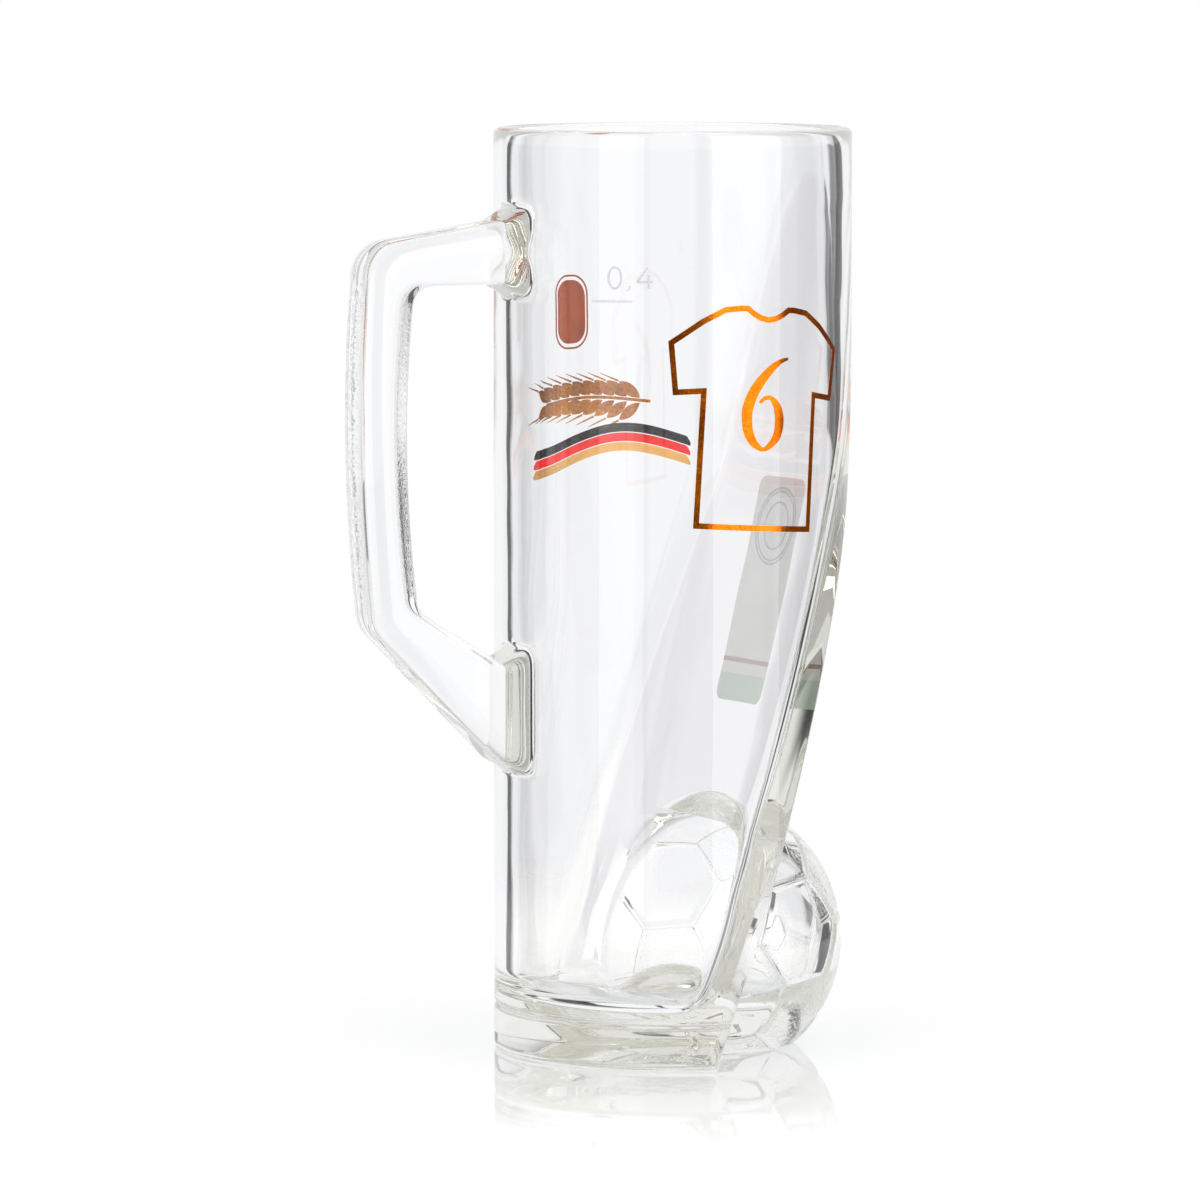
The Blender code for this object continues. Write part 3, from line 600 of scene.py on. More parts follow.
def make_glass():
    """The fused glass: one closed grid from the pole under the foot over the outside, the lip and
    the inside to the pole on the floor, with the handle's loops sewn into two holes in it."""
    outside, height, on_ball, painted_shade_mask = outside_rows()
    inside, floor_x = inside_rows()
    columns = outside.shape[1]
    lip = lip_rows(outside[-1], inside[0])
    floor, floor_pole = floor_rows(inside[-1], floor_x)
    under, under_pole = under_rows(outside[0])
    rows = np.concatenate([under, outside, lip, inside, floor])
    points = rows.reshape(-1, 3)
    quads = grid_quads(len(rows), columns)
    keep = np.ones(quads.shape[:2], bool)
    left = HALF_COLUMNS
    right = left + PAD_COLUMNS
    rims = []
    for span, sign in ((UPPER_PAD, 1), (LOWER_PAD, -1)):
        low, high = (len(under) + int(np.argmin(np.abs(height - edge))) for edge in span)
        keep[low:high, left:right] = False
        top, bottom = (high, low) if sign > 0 else (low, high)
        rims.append(np.concatenate([
            top * columns + np.arange(right, left, -1), np.arange(top, bottom, -sign) * columns + left,
            bottom * columns + np.arange(left, right), np.arange(bottom, top, sign) * columns + right,
        ]))
    loops, leans = handle_loops()
    around = loops.shape[1]
    first_loop = len(points) + 2
    numbers = first_loop + np.arange(len(loops) * around).reshape(len(loops), around)
    rings = np.concatenate([rims[0][None], numbers, rims[1][None]])
    after = np.roll(rings, -1, axis=1)
    tube = np.stack([rings[:-1], after[:-1], after[1:], rings[1:]], -1).reshape(-1, 4)
    under_index, floor_index = len(points), len(points) + 1
    column = np.arange(columns)
    following = (column + 1) % columns
    last = (len(rows) - 1) * columns
    under_fan = np.stack([np.full(columns, under_index), following, column], 1)
    floor_fan = np.stack([last + column, last + following, np.full(columns, floor_index)], 1)
    points = np.concatenate([points, [under_pole, floor_pole], loops.reshape(-1, 3)])
    made = add_mesh("mug_glass", points, (quads[keep], tube, under_fan, floor_fan))
    soft = np.concatenate([np.zeros((first_loop, 3)), leans.reshape(-1, 3)])
    made.data.normals_split_custom_set_from_vertices(soft.tolist())
    # One of these masks carries the facet's painted shade, a grey tint
    ball, painted_shade, grip = np.zeros((3, len(points)), np.float32)
    start = len(under) * columns
    ball[start:start + on_ball.size] = on_ball.ravel()
    painted_shade[start:start + painted_shade_mask.size] = painted_shade_mask.ravel()
    grip[first_loop:] = grip_stipple(loops).ravel()
    for name, mask in (("ball", ball), ("painted_shade", painted_shade), ("grip", grip)):
        made.data.attributes.new(name, "FLOAT", "POINT").data.foreach_set("value", mask)
    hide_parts("glass_body", "handle")
    return made


def grip_stipple(loops):
    """1 on the finger side of the grip, rising and falling as a cubic along its ends."""
    across, up = square_loop()
    finger_side = (up < FINGER_UP) & (np.abs(across) < FINGER_ACROSS)
    height = loops[..., 2]
    along = smooth_step(height, *STIPPLE_START) * (1 - smooth_step(height, *STIPPLE_END))
    return finger_side[None, :] * along * (loops[..., 0] < STIPPLE_REACH)


glass = make_glass()

# Prints
FILM_SINK = 0.00003
FILM_PROUD = 0.00004
PRINT_STEP = 0.0004
MITRE_LEAST = 0.5
PATCH_LEAST = 0.01
SHIRT_AZIMUTH = math.radians(-90)
FAR_AZIMUTH = math.radians(90)
SHIRT_CENTRE = 0.1365
SHIRT_SHIFT = 0.0002
SHIRT_TURN = math.radians(-3.5)
SHIRT_LINE = 0.0012
SHIRT_HALF = np.array([
    (0.0135, -0.0231), (0.0136, 0.005), (0.0195, 0.0044), (0.021, 0.0146), (0.0146, 0.0194),
    (0.01, 0.022), (0.0065, 0.0225), (0.005, 0.0225), (0.0036, 0.0215), (0.002, 0.0207), (0, 0.0203),
])
NUMBER_STROKE = np.array([
    (0.0055, 0.0124, 0.0006), (0.0036, 0.0118, 0.001), (0.0016, 0.0104, 0.0016),
    (-0.0007, 0.008, 0.0021), (-0.0027, 0.005, 0.0024), (-0.0038, 0.0017, 0.0025),
    (-0.0038, -0.0009, 0.0024), (-0.0033, -0.0032, 0.0022), (-0.0022, -0.0051, 0.0018),
    (-0.0007, -0.0063, 0.0012), (0.0005, -0.0066, 0.0009), (0.002, -0.0057, 0.0014),
    (0.0035, -0.0038, 0.002), (0.004, -0.0012, 0.0022), (0.0037, 0.0012, 0.0021),
    (0.0028, 0.003, 0.0016), (0.0016, 0.0041, 0.001), (0.0003, 0.0041, 0.0009),
    (-0.0007, 0.0034, 0.0008), (-0.001, 0.003, 0.0005),
])

# Width, height and corner of the badge's filled part and of the ring round it
BADGE_PATCH = (0.0086, 0.0137, 0.0034)
BADGE_RING = (0.0102, 0.016, 0.0042)
BADGE_LINE = 0.0004
BADGE_PLACE = (0.0062, 0.1553)
RIBBON_LENGTH = 0.046
RIBBON_SHIFT = -0.0015
RIBBON_BASE = 0.12222
RIBBON_BAND = 0.0019
RIBBON_WAVE = 0.0026
RIBBON_PERIOD = 0.055
RIBBON_CREST = -0.008
RIBBON_GAP = 0.0002
RIBBON_TAPER = 0.04
STEM_HALF = 0.0145
STEM_HEIGHT = 0.1352
STEM_BOW = 0.0015
STEM_BEND = 1.4
STEM_WIDTH = 0.0007
KERNEL_PAIRS = 9
KERNEL_FIRST = -0.012
KERNEL_STEP = 0.0031
KERNEL_LEAN = 36.0
KERNEL_LEAN_STEP = 1.8
KERNEL_ASIDE = 0.0006
KERNEL_LENGTH = 0.0062
KERNEL_HALF_WIDTH = 0.00125
KERNEL_POWER = 0.8
KERNEL_TIP = 0.03
BRISTLE_FOOT = 0.0064
BRISTLE_LENGTH = 0.0052
BRISTLE_LEAN = 0.6
BRISTLE_WIDTHS = np.array([[0.00045], [0.00032], [0.0001]])
LABEL_WIDTH = 0.02
LABEL_BOTTOM = 0.072
LABEL_TOP = 0.12
LABEL_CORNER = 0.0025

# Grids of the prints: points along, lines across, and cells both ways
PEN_POINTS = 8
PEN_LINES = 6
SHIRT_LINES = 4
PATCH_CORNER_POINTS = 7
BADGE_CELLS = 15
LABEL_CELLS = 41
RING_CORNER_POINTS = 9
RING_LINES = 3
RIBBON_POINTS = 121
RIBBON_TRIM = 2
RIBBON_LINES = 3
STEM_POINTS = 30
KERNEL_POINTS = 15
KERNEL_LINES = 5
NOUGHT_POINTS = 40

# Strokes of the fill mark as (u, v, share of the line's width), each with its place on the wall
MARK_LINE = 0.0005
NOUGHT_HALF = (0.0014, 0.0022, 1)
NOUGHT_START = 0.1
NOUGHT_TURN = np.linspace(NOUGHT_START, NOUGHT_START + 2 * math.pi, NOUGHT_POINTS)
NOUGHT_ROUND = np.stack([np.cos(NOUGHT_TURN), np.sin(NOUGHT_TURN), np.ones(NOUGHT_POINTS)], 1)
FOUR_PLACE = (-0.0254, 0.1657)
FILL_STROKES = (
    (((-0.0045, 0, 1), (0.0045, 0, 1)), (-0.0325, 0.1608)),
    (NOUGHT_HALF * NOUGHT_ROUND, (-0.0318, 0.1657)),
    (((0.0003, 0.0004, 1), (0.0001, -0.0002, 1), (-0.0004, -0.0008, 0.5)), (-0.0288, 0.1637)),
    (((0.0006, 0.0022, 1), (-0.0016, -0.0008, 1), (0.0017, -0.0008, 1)), FOUR_PLACE),
    (((0.0008, 0.0006, 1), (0.0008, -0.0022, 1)), FOUR_PLACE),
)


def on_wall(azimuth):
    """Places flat (u, z) points on the round wall: u runs round it from an azimuth."""
    def place(flat, lift):
        turn = azimuth + flat[..., 0] / RADIUS
        out = RADIUS + lift
        return np.stack([out * np.cos(turn), out * np.sin(turn), flat[..., 1]], -1)
    return place


def on_facet(flat, lift):
    """Places flat (y, z) points on the slanted, swelling facet, a lift off it."""
    swell = facet_crest(flat[..., 1]) - flat[..., 0] ** 2 / (2 * FACET_CROWN_RADIUS)
    out = swell + lift * math.hypot(1, FACET_LOWER_SLOPE)
    return np.stack([out, flat[..., 0], flat[..., 1]], -1)


def film_part(flat, place, closed, lift):
    """One island of a film: the grid laid a little into the glass and again a little above it, with
    walls round its borders. A closed grid's columns meet."""
    rows, columns = flat.shape[:2]
    count = rows * columns
    points = np.concatenate([
        place(flat, lift - FILM_SINK).reshape(-1, 3), place(flat, lift + FILM_PROUD).reshape(-1, 3)
    ])
    index = np.arange(count).reshape(rows, columns)
    if closed:
        index = np.concatenate([index, index[:, :1]], axis=1)
    sheet = np.stack([index[:-1, :-1], index[:-1, 1:], index[1:, 1:], index[1:, :-1]], -1)
    sheet = sheet.reshape(-1, 4)
    edges = [(index[0, 1:], index[0, :-1]), (index[-1, :-1], index[-1, 1:])]
    if not closed:
        edges += [(index[:-1, 0], index[1:, 0]), (index[1:, -1], index[:-1, -1])]
    walls = [np.stack([b, a, a + count, b + count], -1) for a, b in edges]
    faces = np.concatenate([sheet[:, ::-1], sheet + count] + walls)
    corners = points[faces]
    lean = np.cross(corners[:, 2] - corners[:, 0], corners[:, 3] - corners[:, 1])
    middle = corners.mean(axis=1)
    if np.sum(lean * middle) < 0:
        faces = faces[:, ::-1]
    return points, faces


def film(name, grids, place, replaced=(), lifts=None):
    """A fired print as thin closed islands on the glass, one for each (grid, closed) pair."""
    points, faces, first = [], [], 0
    for i, (flat, closed) in enumerate(grids):
        more, corners = film_part(flat, place, closed, lifts[i] if lifts else 0.0)
        points.append(more)
        faces.append(corners + first)
        first += len(more)
    made = add_mesh(name, np.concatenate(points), faces, smooth=False)
    if replaced:
        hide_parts(*replaced)
    return made


def resample(path, step):
    """A polyline's points at even steps along it, its own corners kept too."""
    length = np.concatenate([[0], np.cumsum(np.linalg.norm(np.diff(path[:, :2], axis=0), axis=1))])
    count = max(int(round(length[-1] / step)), 2)
    wanted = np.unique(np.concatenate([np.linspace(0, length[-1], count + 1), length]).round(7))
    return np.stack([np.interp(wanted, length, path[:, i]) for i in range(path.shape[1])], 1)


def spline(path, steps):
    """A smooth curve through points: between two of them, the cubic that leaves each along the line
    that joins its neighbours."""
    padded = np.concatenate([2 * path[:1] - path[1:2], path, 2 * path[-1:] - path[-2:-1]])
    ends = (padded[:-3], padded[1:-2], padded[2:-1], padded[3:])
    before, start, end, after = (part[:, None] for part in ends)
    t = np.linspace(0, 1, steps, endpoint=False)[None, :, None]
    cubic = 3 * (start - end) + after - before
    square = 2 * before - 5 * start + 4 * end - after
    curve = start + 0.5 * t * (end - before + t * (square + t * cubic))
    return np.concatenate([curve.reshape(-1, path.shape[1]), path[-1:]])


def normals(path, closed):
    """Normals to the left of a flat path, along the mean of the two runs that meet. On a closed path
    they are longer at a corner, so that a line keeps its width there."""
    if closed:
        run = unit(np.roll(path, -1, axis=0) - path)
        mean = run + np.roll(run, 1, axis=0)
        share = np.sum(run * mean, axis=1) / np.linalg.norm(mean, axis=1)
    else:
        mean = np.gradient(path, axis=0)
        share = np.ones(len(path))
    mean = unit(mean)
    share = np.clip(share, MITRE_LEAST, 1)
    return np.stack([-mean[:, 1], mean[:, 0]], 1) / share[:, None]


def shirt_place(flat):
    """Turns the shirt's own drawing a little and puts it at its height on the wall."""
    cos, sin = math.cos(SHIRT_TURN), math.sin(SHIRT_TURN)
    u = flat[..., 0] * cos - flat[..., 1] * sin + SHIRT_SHIFT
    v = flat[..., 0] * sin + flat[..., 1] * cos + SHIRT_CENTRE
    return np.stack([u, v], -1)


def pen(stroke, smooth=True):
    """A pen stroke as a grid: a path of (u, v, width) points, smooth or straight between them, spread
    to both sides of it."""
    path = spline(stroke, PEN_POINTS) if smooth else resample(stroke, PRINT_STEP)
    side = normals(path[:, :2], False)
    shares = np.linspace(0.5, -0.5, PEN_LINES)[:, None, None] * path[None, :, 2:]
    return path[None, :, :2] + side[None] * shares


def rounded_patch(width, height, corner, cells):
    """A rounded rectangle as a grid: across each level run, out to the side that the corners leave."""
    across = np.linspace(-1, 1, cells)
    turn = np.linspace(0, math.pi / 2, PATCH_CORNER_POINTS)
    end = height / 2 - corner + corner * np.sin(turn)
    draw = corner * (1 - np.cos(turn))
    level = np.linspace(-1, 1, cells)[1:-1] * (height / 2 - corner)
    v = np.concatenate([-end[::-1], level, end])
    draw = np.concatenate([draw[::-1], np.zeros(len(level)), draw])
    half = np.maximum(width / 2 - draw, width * PATCH_LEAST)
    return np.stack([across * half[:, None], np.broadcast_to(v[:, None], (len(v), cells))], -1)


def rounded_ring(width, height, corner, line):
    """A line of even width just inside a rounded rectangle, as a closed grid."""
    turn = np.linspace(0, math.pi / 2, RING_CORNER_POINTS)
    quarter = np.stack([np.cos(turn), np.sin(turn)], 1)
    back = quarter[:, ::-1]
    ways = np.concatenate([quarter, back * (-1, 1), -quarter, back * (1, -1)])
    signs = np.repeat(np.array([(1, 1), (-1, 1), (-1, -1), (1, -1)]), len(turn), axis=0)
    core = signs * np.array([width / 2 - corner, height / 2 - corner])
    share = np.linspace(0, 1, RING_LINES)[:, None, None] * line
    return core[None] + ways[None] * (corner - share)


def make_shirt():
    """The shirt: a half outline and its mirror image as one closed line, and the numeral in it."""
    whole = np.concatenate([SHIRT_HALF, SHIRT_HALF[-2::-1] * np.array([-1, 1])])
    whole = resample(np.concatenate([whole, whole[:1]]), PRINT_STEP)[:-1]
    shares = np.linspace(-0.5, 0.5, SHIRT_LINES)[:, None, None] * SHIRT_LINE
    outline = shirt_place(whole[None] + normals(whole, True)[None] * shares)
    near = on_wall(SHIRT_AZIMUTH)
    shirt = film("shirt_outline_print", [(outline, True)], near, ["shirt_outline"])
    number = shirt_place(pen(NUMBER_STROKE))
    numeral = film("shirt_number_print", [(number, False)], near, ["shirt_number"])
    return shirt, numeral


def make_badge():
    """The badge on the far side: a filled oblong inside a thin ring."""
    grids = [
        (rounded_patch(*BADGE_PATCH, BADGE_CELLS) + np.array(BADGE_PLACE), False),
        (rounded_ring(*BADGE_RING, BADGE_LINE) + np.array(BADGE_PLACE), True),
    ]
    return film("badge_print", grids, on_wall(FAR_AZIMUTH), ["badge"])


def make_ribbon(name, order):
    """One waved band: a strip of even height on a cosine wave, its ends drawn to points."""
    t = np.linspace(-0.5, 0.5, RIBBON_POINTS)
    u = RIBBON_SHIFT + RIBBON_LENGTH * t
    wave = RIBBON_WAVE * np.cos(2 * math.pi * (u - RIBBON_CREST) / RIBBON_PERIOD)
    band = RIBBON_BAND * smooth_step(0.5 - np.abs(t), 0.0, RIBBON_TAPER)
    share = np.linspace(0, 1, RIBBON_LINES)[:, None]
    v = RIBBON_BASE + order * (RIBBON_BAND + RIBBON_GAP) + wave + band * share
    grid = np.stack([np.broadcast_to(u, v.shape), v], -1)[:, RIBBON_TRIM:-RIBBON_TRIM]
    return film(name + "_print", [(grid, False)], on_wall(FAR_AZIMUTH), [name])


def stem_height(u):
    """The height of the ear's stem, which bows as a cosine does."""
    return STEM_HEIGHT + STEM_BOW * np.cos(u / STEM_HALF * STEM_BEND)


def make_ear():
    """A barley ear lying along the far side: kernels in pairs along a bowed stem, each a lens whose
    half width follows a power of a sine, and a bristle running on from each."""
    u = np.linspace(-STEM_HALF, STEM_HALF, STEM_POINTS)
    stem = np.stack([u, stem_height(u), np.full(len(u), STEM_WIDTH)], 1)
    grids = [(pen(stem, False), False)]
    t = np.linspace(0, 1, KERNEL_POINTS)
    half = KERNEL_HALF_WIDTH * np.maximum(np.sin(math.pi * t) ** KERNEL_POWER, KERNEL_TIP)
    aside = (np.linspace(1, -1, KERNEL_LINES)[:, None] * half)[..., None]
    bristle_share = np.linspace(0, 1, len(BRISTLE_WIDTHS))[:, None]
    for i in range(KERNEL_PAIRS):
        root = KERNEL_FIRST + KERNEL_STEP * i
        for sign in (1, -1):
            lean = sign * math.radians(KERNEL_LEAN - KERNEL_LEAN_STEP * i)
            along = np.array([math.cos(lean), math.sin(lean)])
            side = np.array([-along[1], along[0]])
            start = np.array([root, stem_height(root) + sign * KERNEL_ASIDE])
            kernel = start + t[None, :, None] * KERNEL_LENGTH * along + aside * side
            lean *= BRISTLE_LEAN
            reach = BRISTLE_LENGTH * np.array([math.cos(lean), math.sin(lean)])
            bristle = start + BRISTLE_FOOT * along + bristle_share * reach
            bristle = pen(np.hstack([bristle, BRISTLE_WIDTHS]), False)
            grids += [(kernel, False), (bristle, False)]
    return film("barley_print", grids, on_wall(FAR_AZIMUTH))


def make_label():
    """The pale panel on the facet, a rounded rectangle."""
    grid = rounded_patch(LABEL_WIDTH, LABEL_TOP - LABEL_BOTTOM, LABEL_CORNER, LABEL_CELLS)
    grid = grid + np.array([0, (LABEL_BOTTOM + LABEL_TOP) / 2])
    return film("label_print", [(grid, False)], on_facet, ["label_panel"])


def make_fill_mark():
    """The filled level: a short level line, with the figures of the measure above it. The last stroke
    crosses another, so it lies on top of that one."""
    grids = []
    for stroke, place in FILL_STROKES:
        line = np.array(stroke) * (1, 1, MARK_LINE) + (*place, 0)
        grids.append((pen(line, False), False))
    lifts = [0.0] * (len(grids) - 1) + [FILM_SINK + FILM_PROUD]
    near = on_wall(SHIRT_AZIMUTH)
    return film("fill_mark_print", grids, near, ["fill_line"], lifts)


shirt, numeral = make_shirt()
badge = make_badge()
ribbon_gold, ribbon_red, ribbon_black = (
    make_ribbon("ribbon_" + colour, order)
    for order, colour in enumerate(("gold", "red", "black"))
)
barley = make_ear()
label = make_label()
fill_mark = make_fill_mark()

# Finishes
PLAIN = (1, 1, 1, 1)
MOTTLE_SPAN = (0.7, 1.3)
PRINT_GRAIN = 2000.0
PRINT_RELIEF = 0.00005
SEAM_LINE = 0.0005
SEAM_LINE_DEPTH = 0.00025
STIPPLE_SCALE = 1100.0
STIPPLE_DEPTH = 0.0002
STIPPLE_ROUGHNESS = 0.04
WAVE_SCALE = 45.0
WAVE_DEPTH = 0.0002
GLASS_IOR = 1.5
GLASS_DEPTH_COLOUR = (0.72, 0.71, 0.6, 1)
GLASS_DENSITY = 9.0
# Painted shade: the facet's grey tint, which darkens what is seen through it
FACET_PAINTED_SHADE = (0.82, 0.81, 0.83, 1)
SEE_THROUGH = (0.9, 0.91, 0.92, 1)
TRAPPED_DEPTH = 9.5
LABEL_GRAIN = 700.0
LABEL_BLOTCH = 90.0
LABEL_MOTTLE = 0.15
LABEL_ROUGHNESS = 0.3
LABEL_ALPHA = 0.45
LABEL_GREY = (0.66, 0.64, 0.6, 1)
LABEL_BANDS = (
    (0.0, (0.42, 0.5, 0.38, 1)), (0.12, LABEL_GREY), (0.17, (0.3, 0.14, 0.06, 1)), (0.19, LABEL_GREY),
)
RINGS = (0.0082, 0.0074, 0.005)
RING_HEIGHT = 0.1095
RING_LINE = 0.0003
RING_CORE = 0.7 * RING_LINE
RING_COLOUR = (0.3, 0.34, 0.4, 1)

# Fired prints: dark and light colour, metallic, roughness range, bump, blotch scale and specular level
FIRED_PRINTS = {
    "copper_lustre": ((0.6, 0.1, 0.002), (1.0, 0.27, 0.012), 1.0, (0.1, 0.22), 0.25, 120.0, 0.5),
    "barley_lustre": ((0.2, 0.05, 0.01), (1.0, 0.42, 0.09), 1.0, (0.1, 0.22), 0.25, 55.0, 0.5),
    "brown_enamel": ((0.27, 0.042, 0.003), (0.44, 0.075, 0.007), 0.0, (0.18, 0.3), 0.2, 120.0, 0.1),
    "gold_enamel": ((0.9, 0.42, 0.07), (1.0, 0.6, 0.2), 0.8, (0.15, 0.28), 0.2, 120.0, 0.5),
    "red_enamel": ((0.8, 0.006, 0.003), (1.0, 0.015, 0.006), 0.0, (0.15, 0.28), 0.2, 120.0, 0.1),
    "black_enamel": ((0.004, 0.004, 0.004), (0.015, 0.014, 0.013), 0.0, (0.15, 0.28), 0.2, 120.0, 0.1),
    # The fill mark is a white print given a mid grey here: painted shade, the grey its glyphs show in
    # shadow
    "white_mark": ((0.42, 0.42, 0.43), (0.58, 0.58, 0.59), 0.0, (0.3, 0.5), 0.2, 120.0, 0.5),
}


class Nodes:
    """One tree of shader nodes, with short calls that add to it. An input is a value or a socket."""

    def __init__(self, tree):
        self.tree = tree

    def feed(self, socket, value):
        """Joins a socket to another node's, or sets its value."""
        if isinstance(value, bpy.types.NodeSocket):
            self.tree.links.new(value, socket)
        else:
            socket.default_value = value

    def add(self, kind, inputs=None, **settings):
        """A new node with its settings and inputs."""
        made = self.tree.nodes.new("ShaderNode" + kind)
        for name, value in settings.items():
            setattr(made, name, value)
        for name, value in (inputs or {}).items():
            self.feed(made.inputs[name], value)
        return made

    def out(self, kind, inputs=None, **settings):
        """The first output of a new node."""
        return self.add(kind, inputs, **settings).outputs[0]

    def math(self, operation, first, second=0.0):
        """The result of one sum on two numbers."""
        return self.out("Math", {0: first, 1: second}, operation=operation)

    def times(self, product, *factors):
        """The product of some numbers."""
        for factor in factors:
            product = self.math("MULTIPLY", product, factor)
        return product

    def vector(self, operation, inputs, out="Vector"):
        """The result of one sum on vectors."""
        return self.add("VectorMath", inputs, operation=operation).outputs[out]

    def ramp(self, value, low, high, bottom=0.0, top=1.0, course="SMOOTHSTEP"):
        """A rise from bottom to top while a value goes from low to high."""
        span = {"Value": value, "From Min": low, "From Max": high, "To Min": bottom, "To Max": top}
        return self.out("MapRange", span, interpolation_type=course)

    def mix(self, share, first, second):
        """A number that goes from the first to the second as a share rises."""
        return self.out("Mix", {0: share, 2: first, 3: second})

    def tint(self, share, first, second, blend="MIX"):
        """A colour that goes from the first to the second as a share rises."""
        colours = {0: share, 6: first, 7: second}
        return self.add("Mix", colours, data_type="RGBA", blend_type=blend).outputs[2]

    def blend(self, share, first, second):
        """A surface that goes from the first to the second as a share rises."""
        return self.out("MixShader", {0: share, 1: first, 2: second})

    def place(self):
        """Where a point lies in its piece's own frame."""
        return self.add("TexCoord").outputs["Object"]

    def noise(self, place, scale, detail, roughness=0.5):
        """Cloudy noise about one half."""
        inputs = {"Vector": place, "Scale": scale, "Detail": detail, "Roughness": roughness}
        return self.add("TexNoise", inputs).outputs["Fac"]


def new_group(name, inputs, outputs):
    """An empty node group with sockets of given kinds: its nodes, what it is given and its results."""
    tree = bpy.data.node_groups.new(name, "ShaderNodeTree")
    for side, sockets in (("INPUT", inputs), ("OUTPUT", outputs)):
        for socket, kind in sockets.items():
            tree.interface.new_socket(socket, in_out=side, socket_type="NodeSocket" + kind)
    given = tree.nodes.new("NodeGroupInput").outputs
    return Nodes(tree), given, tree.nodes.new("NodeGroupOutput").inputs


def new_material(name):
    """An empty node material, its nodes and its output's inputs."""
    material = bpy.data.materials.new(name)
    material.use_nodes = True
    material.node_tree.nodes.clear()
    nodes = Nodes(material.node_tree)
    return material, nodes, nodes.add("OutputMaterial").inputs


def wear(piece, material):
    """Gives a piece its one material."""
    piece.data.materials.clear()
    piece.data.materials.append(material)


def fired_grain():
    """A group for fired prints: a fine mottle as Tone, and the film's small unevenness as Height."""
    nodes, given, result = new_group(
        "fired_grain", {"Grain": "Float", "Blotch": "Float"}, {"Tone": "Float", "Height": "Float"})
    place = nodes.place()
    fine = nodes.noise(place, given["Grain"], detail=3.0, roughness=0.6)
    both = nodes.math("ADD", fine, nodes.noise(place, given["Blotch"], detail=2.0))
    nodes.feed(result["Tone"], nodes.ramp(both, *MOTTLE_SPAN, course="LINEAR"))
    nodes.feed(result["Height"], fine)
    return nodes.tree


def football_panels():
    """A group for the football: the distance to the nearest seam, and a mask of its five-sided panels.

    The direction from the football's centre, in the frame of its panels, is folded by the mirrors of
    an icosahedron into the one small triangle that all its copies share. There a single line parts
    the five-sided from the six-sided panel, and the middle plane is the seam between two six-sided.
    """
    nodes, given, result = new_group(
        "football_panels", {"Place": "Vector"}, {"Seam": "Float", "Five-sided": "Float"})

    def dot(socket, direction):
        """How far a vector reaches along a fixed direction."""
        return nodes.vector("DOT_PRODUCT", {0: socket, 1: tuple(direction)}, "Value")

    way = nodes.vector("SUBTRACT", {0: given["Place"], 1: BALL_CENTRE})
    way = nodes.vector("NORMALIZE", {0: way})
    along, front, across = panel_frame()
    parts = [dot(way, part) for part in (along, across, front)]
    point = nodes.out("CombineXYZ", dict(enumerate(parts)))
    fifth = math.cos(math.pi / 5)
    rise = math.sqrt(0.75 - fifth**2)
    mirror = (-0.5, -fifth, rise)
    for _ in range(3):
        point = nodes.vector("ABSOLUTE", {0: point})
        behind = nodes.math("MINIMUM", dot(point, mirror), 0.0)
        back = nodes.vector("SCALE", {0: mirror, "Scale": nodes.times(behind, -2.0)})
        point = nodes.vector("ADD", {0: point, 1: back})
    point = nodes.vector("ABSOLUTE", {0: point})
    five = np.array([rise, 0, 0.5]) / math.hypot(rise, 0.5)
    six = np.array([0, rise, fifth]) / math.hypot(rise, fifth)
    corner = five * np.array([1 / 3, 0, 1])
    parting = five / (corner @ five) - six / (corner @ six)
    parting *= BALL_RADIUS / np.linalg.norm(parting)
    into_five = dot(point, parting)
    off_middle = nodes.times(nodes.add("SeparateXYZ", {0: point}).outputs["Y"], BALL_RADIUS)
    into_six = nodes.math("MINIMUM", nodes.times(into_five, -1.0), off_middle)
    nodes.feed(result["Seam"], nodes.math("MAXIMUM", into_five, into_six))
    nodes.feed(result["Five-sided"], nodes.math("GREATER_THAN", into_five, 0.0))
    return nodes.tree


GRAIN = fired_grain()
PANELS = football_panels()


def fired_print(name, low, high, metallic, roughness, bump, blotch, specular):
    """A fired film: its colour and gloss run between two values along the grain."""
    material, nodes, out = new_material(name)
    grain = nodes.add("Group", {"Grain": PRINT_GRAIN, "Blotch": blotch}, node_tree=GRAIN).outputs
    relief = {"Height": grain["Height"], "Strength": bump, "Distance": PRINT_RELIEF}
    nodes.feed(out["Surface"], nodes.out("BsdfPrincipled", {
        "Base Color": nodes.tint(grain["Tone"], (*low, 1), (*high, 1)),
        "Roughness": nodes.ramp(grain["Tone"], 0.0, 1.0, *roughness, "LINEAR"),
        "Metallic": metallic, "Specular IOR Level": specular, "Normal": nodes.out("Bump", relief),
    }))
    return material


